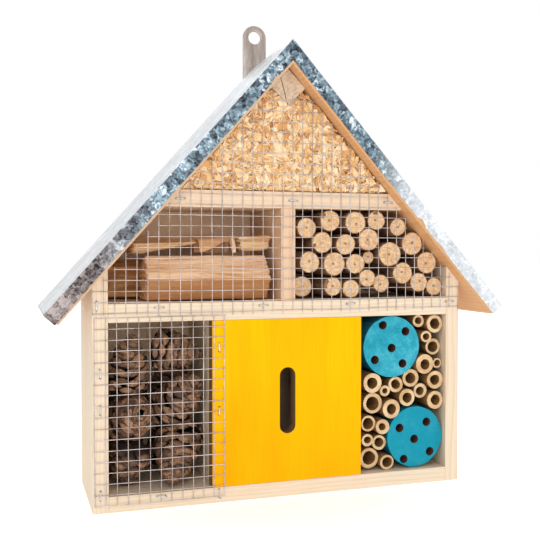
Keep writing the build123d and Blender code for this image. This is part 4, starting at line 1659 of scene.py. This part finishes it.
blanks = [
    curl_blank(9 * MM, 6 * MM, 6 * MM, 4, 0.1),
    curl_blank(15 * MM, 5 * MM, 3.8 * MM, 7, 0.2),
    curl_blank(12 * MM, 6.5 * MM, 5 * MM, 5, -0.1),
    curl_blank(18 * MM, 2.6 * MM, 15 * MM, 4, 0.05),
    curl_blank(8 * MM, 5 * MM, 10 * MM, 3, -0.2),
]
print("faces of the blanks:", [len(blank.data.polygons) for blank in blanks])

# %% [markdown]
# Over two thousand copies are tumbled into the front of the heap, clear of the ridge bar.
# Whatever comes close to the wire, the shelf or the roof boards is squeezed towards it and
# never passes it. The squeeze leaves every curl a little of its thickness, where a plain
# limit would lay many corners on one plane and show black gaps.

# %% Filling the attic
HEAP_COUNT = 2200
HEAP_DEPTH = 6 * MM
BOARD_CLEAR = 3 * MM
heap_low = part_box("wood_shavings")[0]
bar_low, bar_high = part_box("ridge_bar")
rng = random.Random(5)


def attic_half(z, clear):
    """Half the attic's width at height z, kept clear of the roof boards."""
    return (UNDERSIDE - clear / math.cos(PITCH) - z) / math.tan(PITCH)


def press(value, limit, give):
    """Squeeze a place that comes within give of a limit, so that it never passes it."""
    over = value - limit
    return value if over > give else limit + give * math.exp(over / give - 1)


chips = []
while len(chips) < HEAP_COUNT:
    z = rng.uniform(heap_low.z, bar_high.z - 4 * MM)
    half = attic_half(z, BOARD_CLEAR)
    x = rng.uniform(-1, 1) * attic_half(heap_low.z, BOARD_CLEAR)
    bar_half = (bar_high.z - bar_low.z) / 2 - abs(z - (bar_high.z + bar_low.z) / 2)
    if abs(x) > half or abs(x) < bar_half + 1.5 * MM:
        continue
    y = heap_low.y + 0.5 * MM + HEAP_DEPTH * rng.random() ** 1.2
    facing_out = Matrix.Rotation(math.radians(90), 4, "X")
    tumble = Matrix.Rotation(rng.gauss(0, 0.5), 4, "X")
    tumble = tumble @ Matrix.Rotation(rng.gauss(0, 0.5), 4, "Z")
    turn = tumble @ Matrix.Rotation(rng.uniform(0, 2 * math.pi), 4, "Y") @ facing_out
    size = Matrix.Scale(rng.uniform(0.7, 1.45), 4)
    chip = twin(rng.choice(blanks), Matrix.Translation((x, y, z)) @ turn @ size)
    tone = chip.data.attributes.new("tone", "FLOAT", "POINT")
    # The tone is random, plus painted shade: curls further back in the heap get a deeper amber.
    value = min(1.0, max(0.0, rng.gauss(0.26, 0.28) + 0.7 * (y - heap_low.y) / HEAP_DEPTH))
    tone.data.foreach_set("value", [value] * len(chip.data.vertices))
    chips.append(chip)
heap = join(chips, "shavings_curled")
for blank in blanks:
    bpy.data.objects.remove(blank)
front_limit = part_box("floor_board")[0].y + 0.15 * MM
for vert in heap.data.vertices:
    vert.co.z = press(vert.co.z, heap_low.z, 1.5 * MM)
    vert.co.y = press(vert.co.y, front_limit, 2.5 * MM)
    room_beside = attic_half(vert.co.z, 0.4 * MM) - abs(vert.co.x)
    half = abs(vert.co.x) + room_beside - press(room_beside, 0.0, 1.5 * MM)
    vert.co.x = math.copysign(max(half, 0), vert.co.x)
heap.data.materials.append(SHAVING)
settle(heap, "shavings_curled", "shavings", "wood_shavings", angle=50)

# %% [markdown]
# The curls fill only the front of the attic. A lumpy copy of the CAD heap stands behind
# them and closes the gaps, in a middle tone.

# %% A lumpy core behind the curls
CORE_TONE = 0.5
core = copy_of("wood_shavings")
even_faces(core, 3 * MM)
for vert in core.data.vertices:
    lump = noise.noise(vert.co * 160) + 0.6 * noise.noise(vert.co * 380)
    vert.co += vert.normal * MM * (1.6 * lump - 1.4)
    vert.co.y = max(heap_low.y + 1.0 * MM, vert.co.y)
core_tone = core.data.attributes.new("tone", "FLOAT", "POINT")
core_tone.data.foreach_set("value", [CORE_TONE] * len(core.data.vertices))
core.data.attributes.new("across", "FLOAT", "POINT")
core.data.materials.append(SHAVING)
settle(core, "shavings_core", "shavings", "wood_shavings", angle=50)

# %% [markdown]
# ## Ridge bar
# A thin bent blade is cut out of a copy of the bar: it enters at the left upper face and
# wanders down to the bottom corner.

# %% Ridge bar
RIDGE_END = end_grain(
    "ridge_end", tint(220, 200, 174), tint(202, 178, 152), tint(166, 136, 106), 2.2)
CHECK_WIDTH = 0.55 * MM
CHECK_DEPTH = 22 * MM
HEART_OFF_MIDDLE = Vector((11, 0, -13)) * MM
bar = copy_of("ridge_bar")
bar_middle = (bar_low + bar_high) / 2
bar_half = (bar_high.z - bar_low.z) / 2
bpy.ops.mesh.primitive_grid_add(x_subdivisions=10, y_subdivisions=1, size=1)
blade = bpy.context.object
for vert in blade.data.vertices:
    share, back = vert.co.x + 0.5, vert.co.y
    wander = 0.5 * MM * noise.noise(Vector((share * 5, 4, 2)))
    vert.co = Vector((
        bar_middle.x + (-0.5 + 0.52 * share) * bar_half + wander,
        bar_low.y + back * 2 * CHECK_DEPTH,
        bar_middle.z + (0.72 - 1.95 * share) * bar_half,
    ))
thicken(blade, CHECK_WIDTH)
carve(bar, blade)
heart = bar.data.attributes.new("heart", "FLOAT_VECTOR", "POINT")
for index, vert in enumerate(bar.data.vertices):
    heart.data[index].vector = (vert.co - bar_middle - HEART_OFF_MIDDLE) / MM
bar.data.materials.append(RIDGE_END)
settle(bar, "ridge_bar_checked", "pine", "ridge_bar")
